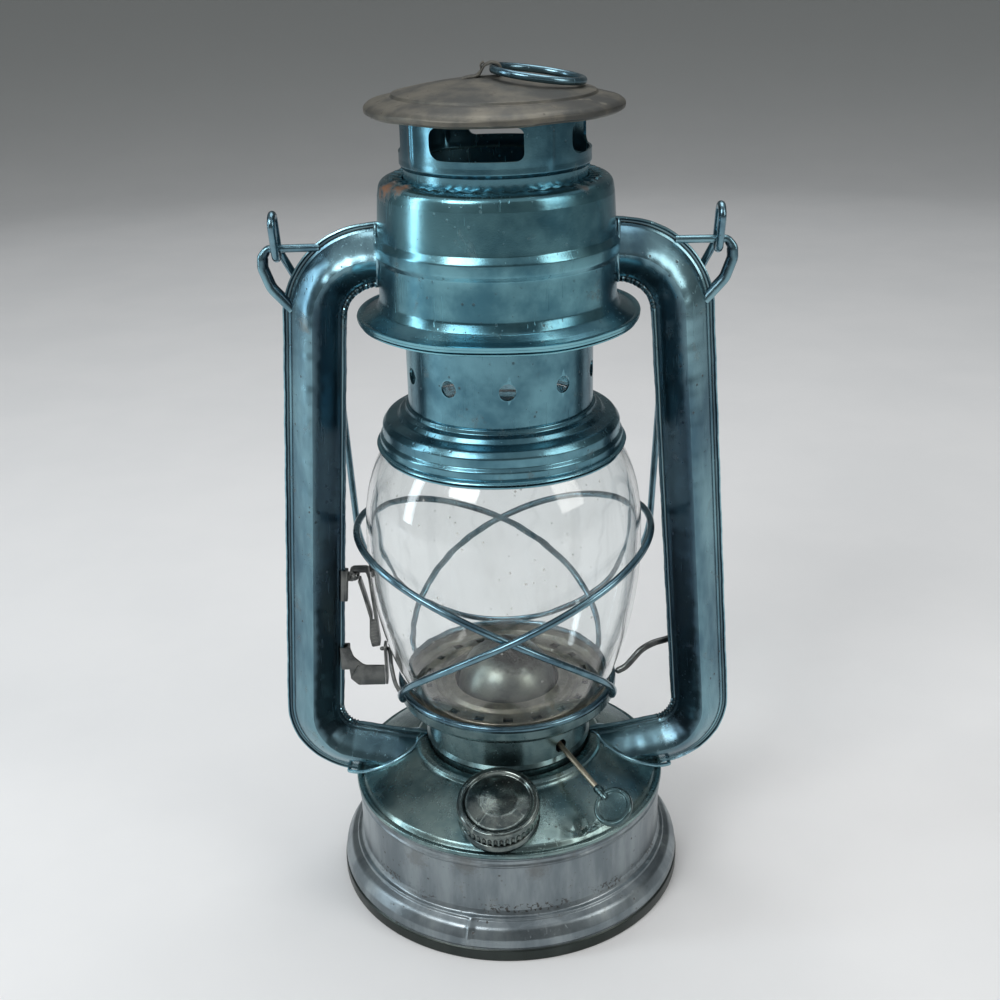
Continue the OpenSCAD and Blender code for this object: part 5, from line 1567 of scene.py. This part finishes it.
@dataclass
class Handle:
    """Wire handle, from an eye on one side round to the other. Its own frame has X along the pivots, -Y to its end."""

    pivot_z: float = 213.7
    rest: float = 19.0
    length: float = 163.0
    half_w: float = 51.0
    ear_x: float = 64.2
    eye_r: float = 2.95
    eye_tail: float = 7.65
    eye_open: float = 140.0
    wire_r: float = 1.15

    def line(self) -> Array:
        """One leg with its eye, the arch, and the other leg as the first one's mirror image."""
        arch_y = self.half_w - self.length
        a = np.radians(self.eye_open * (1 - np.arange(16) / 16))
        first = np.stack([0 * a + self.ear_x, -self.eye_r * np.sin(a), -self.eye_r * np.cos(a)], 1)
        a = np.radians(np.linspace(0, 180, 22))
        second = np.stack([0 * a + self.ear_x, self.eye_tail + self.eye_r * np.sin(a), -self.eye_r * np.cos(a)], 1)
        corners = [(self.ear_x, self.eye_tail - 0.6), (self.ear_x, -2.0, 4.0), (self.ear_x - 4.0, -12.0, 4.0),
                   (self.half_w + 1.2, -26.0, 6.0), (self.half_w, -31.0, 4.0), (self.half_w, arch_y)]
        leg = dense(rounded(corners, 6), 2.5)
        leg = np.column_stack([leg, np.full(len(leg), self.eye_r)])
        side = np.concatenate([first, second, leg])
        arch = arc((0.0, arch_y), self.half_w, 0.0, -180.0, 60)[1:-1]
        arch = np.column_stack([arch, np.full(len(arch), self.eye_r)])
        return np.concatenate([side, arch, side[::-1] * (-1.0, 1.0, 1.0)])

    def build(self) -> None:
        """Makes the handle, turns it about its pivots and hangs it behind."""
        line = self.line()
        arch_y = self.half_w - self.length
        centre = np.stack([0 * line[:, 0], np.minimum(line[:, 1], arch_y) * 0 + arch_y, line[:, 2]], axis=1)
        out = np.where((line[:, 1] > arch_y)[:, None], np.sign(line[:, :1]) * (1.0, 0.0, 0.0), unit(line - centre))
        handle = wire("carry_handle", line * (1.0, 1.0, -1.0), self.wire_r, out * (1.0, 1.0, -1.0), sides=16)
        turn = Matrix.Rotation(math.radians(90.0 + self.rest), 4, "X")
        placed(handle, Matrix.Translation((0.0, 0.0, self.pivot_z)) @ turn)
        dress(handle, Finish.WIRE, Body.BAIL, Slot.WIRE, "bail")

# Studio


@dataclass(frozen=True)
class Lamp:
    """A soft square or strip lamp: where it hangs and what it points at in metres, its sides, power and colour."""

    name: str
    place: tuple[float, float, float]
    target: tuple[float, float, float]
    sides: tuple[float, float]
    power: float
    colour: tuple[float, float, float] = (1.0, 1.0, 1.0)

    def hang(self) -> None:
        """Makes the lamp."""
        data = bpy.data.lights.new(self.name, "AREA")
        data.shape = "RECTANGLE"
        data.size, data.size_y = self.sides
        data.energy = self.power
        data.color = self.colour
        lamp = bpy.data.objects.new(self.name, data)
        lamp.location = self.place
        lamp.rotation_euler = (Vector(self.target) - Vector(self.place)).to_track_quat("-Z", "Y").to_euler()
        bpy.context.scene.collection.objects.link(lamp)


@dataclass(frozen=True)
class Studio:
    """Pale round surround, soft lamps, and the camera of the photograph's view.

    The camera stands on the YZ plane at a distance and height in millimetres, with its pitch, yaw and roll in
    radians and its focal length in widths of the picture.
    """

    distance: float = 388.083
    height: float = 298.404
    pitch: float = 0.403477
    yaw: float = 0.00245187
    roll: float = -0.0237200
    focal: float = 1.3447449
    floor_r: float = 1.3
    bend: float = 0.5
    wall_h: float = 1.5
    wall: tuple[float, float, float] = (0.27, 0.28, 0.275)
    lamps: tuple[Lamp, ...] = (
        Lamp("key lamp", (-0.62, -0.78, 0.92), (0.0, 0.0, 0.13), (0.55, 0.55), 7.2),
        Lamp("left strip", (-0.85, -0.10, 0.40), (0.0, 0.0, 0.13), (0.14, 0.70), 2.2, (0.86, 0.95, 1.0)),
        Lamp("right fill", (0.80, -0.45, 0.60), (0.0, 0.0, 0.12), (0.40, 0.60), 2.6, (1.0, 0.97, 0.93)),
        Lamp("top lamp", (0.05, 0.25, 1.10), (0.0, 0.0, 0.12), (0.70, 0.70), 4.1),
    )

    def camera(self) -> None:
        """Makes the camera: its axes are the rows of roll x pitch x yaw x the level view along +Y."""
        c, s = math.cos, math.sin
        level = Matrix(((1, 0, 0), (0, 0, -1), (0, 1, 0)))
        yaw = Matrix(((c(self.yaw), 0, s(self.yaw)), (0, 1, 0), (-s(self.yaw), 0, c(self.yaw))))
        pitch = Matrix(((1, 0, 0), (0, c(self.pitch), -s(self.pitch)), (0, s(self.pitch), c(self.pitch))))
        roll = Matrix(((c(self.roll), -s(self.roll), 0), (s(self.roll), c(self.roll), 0), (0, 0, 1)))
        right, down, ahead = roll @ pitch @ yaw @ level
        data = bpy.data.cameras.new("camera")
        data.sensor_width = 36.0
        data.lens = 36.0 * self.focal
        data.clip_start, data.clip_end = 0.01, 20.0
        camera = bpy.data.objects.new("camera", data)
        turn = Matrix((right, -down, -ahead)).transposed()
        camera.matrix_world = Matrix.Translation((0.0, -self.distance * MM, self.height * MM)) @ turn.to_4x4()
        bpy.context.scene.collection.objects.link(camera)
        bpy.context.scene.camera = camera

    def surround(self) -> None:
        """Makes the floor and the wall round it as one surface of revolution, joined by a quarter bend."""
        bend = arc((self.floor_r, self.bend), self.bend, -90.0, 0.0, 12)
        line = np.concatenate([[[0.0, 0.0]], bend, [[self.floor_r + self.bend, self.wall_h]]])
        t = (TAU * np.arange(96) / 96)[:, None]
        r, z = line[None, :, 0] / MM, line[None, :, 1] / MM
        floor = grid_mesh("floor", np.stack([r * np.cos(t), r * np.sin(t), z + 0 * t], axis=-1), True, False)
        g = Graph("pale floor")
        flat_part = g.node("ShaderNodeVectorMath", {"operation": "LENGTH"}, {0: g.place}, "Value")
        pale = g.blend(g.noise(90.0).between(0.3, 0.7), (0.78, 0.785, 0.79), (0.81, 0.812, 0.815))
        g.set(Base_Color=g.blend(flat_part.between(self.floor_r - 0.25, self.floor_r + self.bend), pale, self.wall),
              Roughness=0.85)
        floor.data.materials.append(g.material)
        floor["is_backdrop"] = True

    def build(self) -> None:
        """Sets up the whole studio."""
        self.surround()
        for lamp in self.lamps:
            lamp.hang()
        world = bpy.data.worlds.new("studio air")
        world.use_nodes = True
        air = world.node_tree.nodes["Background"]
        air.inputs["Color"].default_value = (0.62, 0.64, 0.66, 1.0)
        air.inputs["Strength"].default_value = 0.6
        bpy.context.scene.world = world
        bpy.context.scene.view_settings.view_transform = "Standard"
        self.camera()


def corners() -> list[list[float]]:
    """The lowest and highest corner of what is shown, in metres."""
    return [list(corner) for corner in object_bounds()]


def main() -> None:
    """Builds the lantern piece by piece, and the studio round it."""
    logging.basicConfig(level=logging.INFO, format="%(name)s: %(message)s")
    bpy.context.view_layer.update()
    for part in (Tank(), Filler(), Burner(), SideTubes(), Canopy(), Chimney(), Carrier(), Catch(), Handle()):
        part.build()
    Studio().build()


if __name__ == "__main__":
    main()
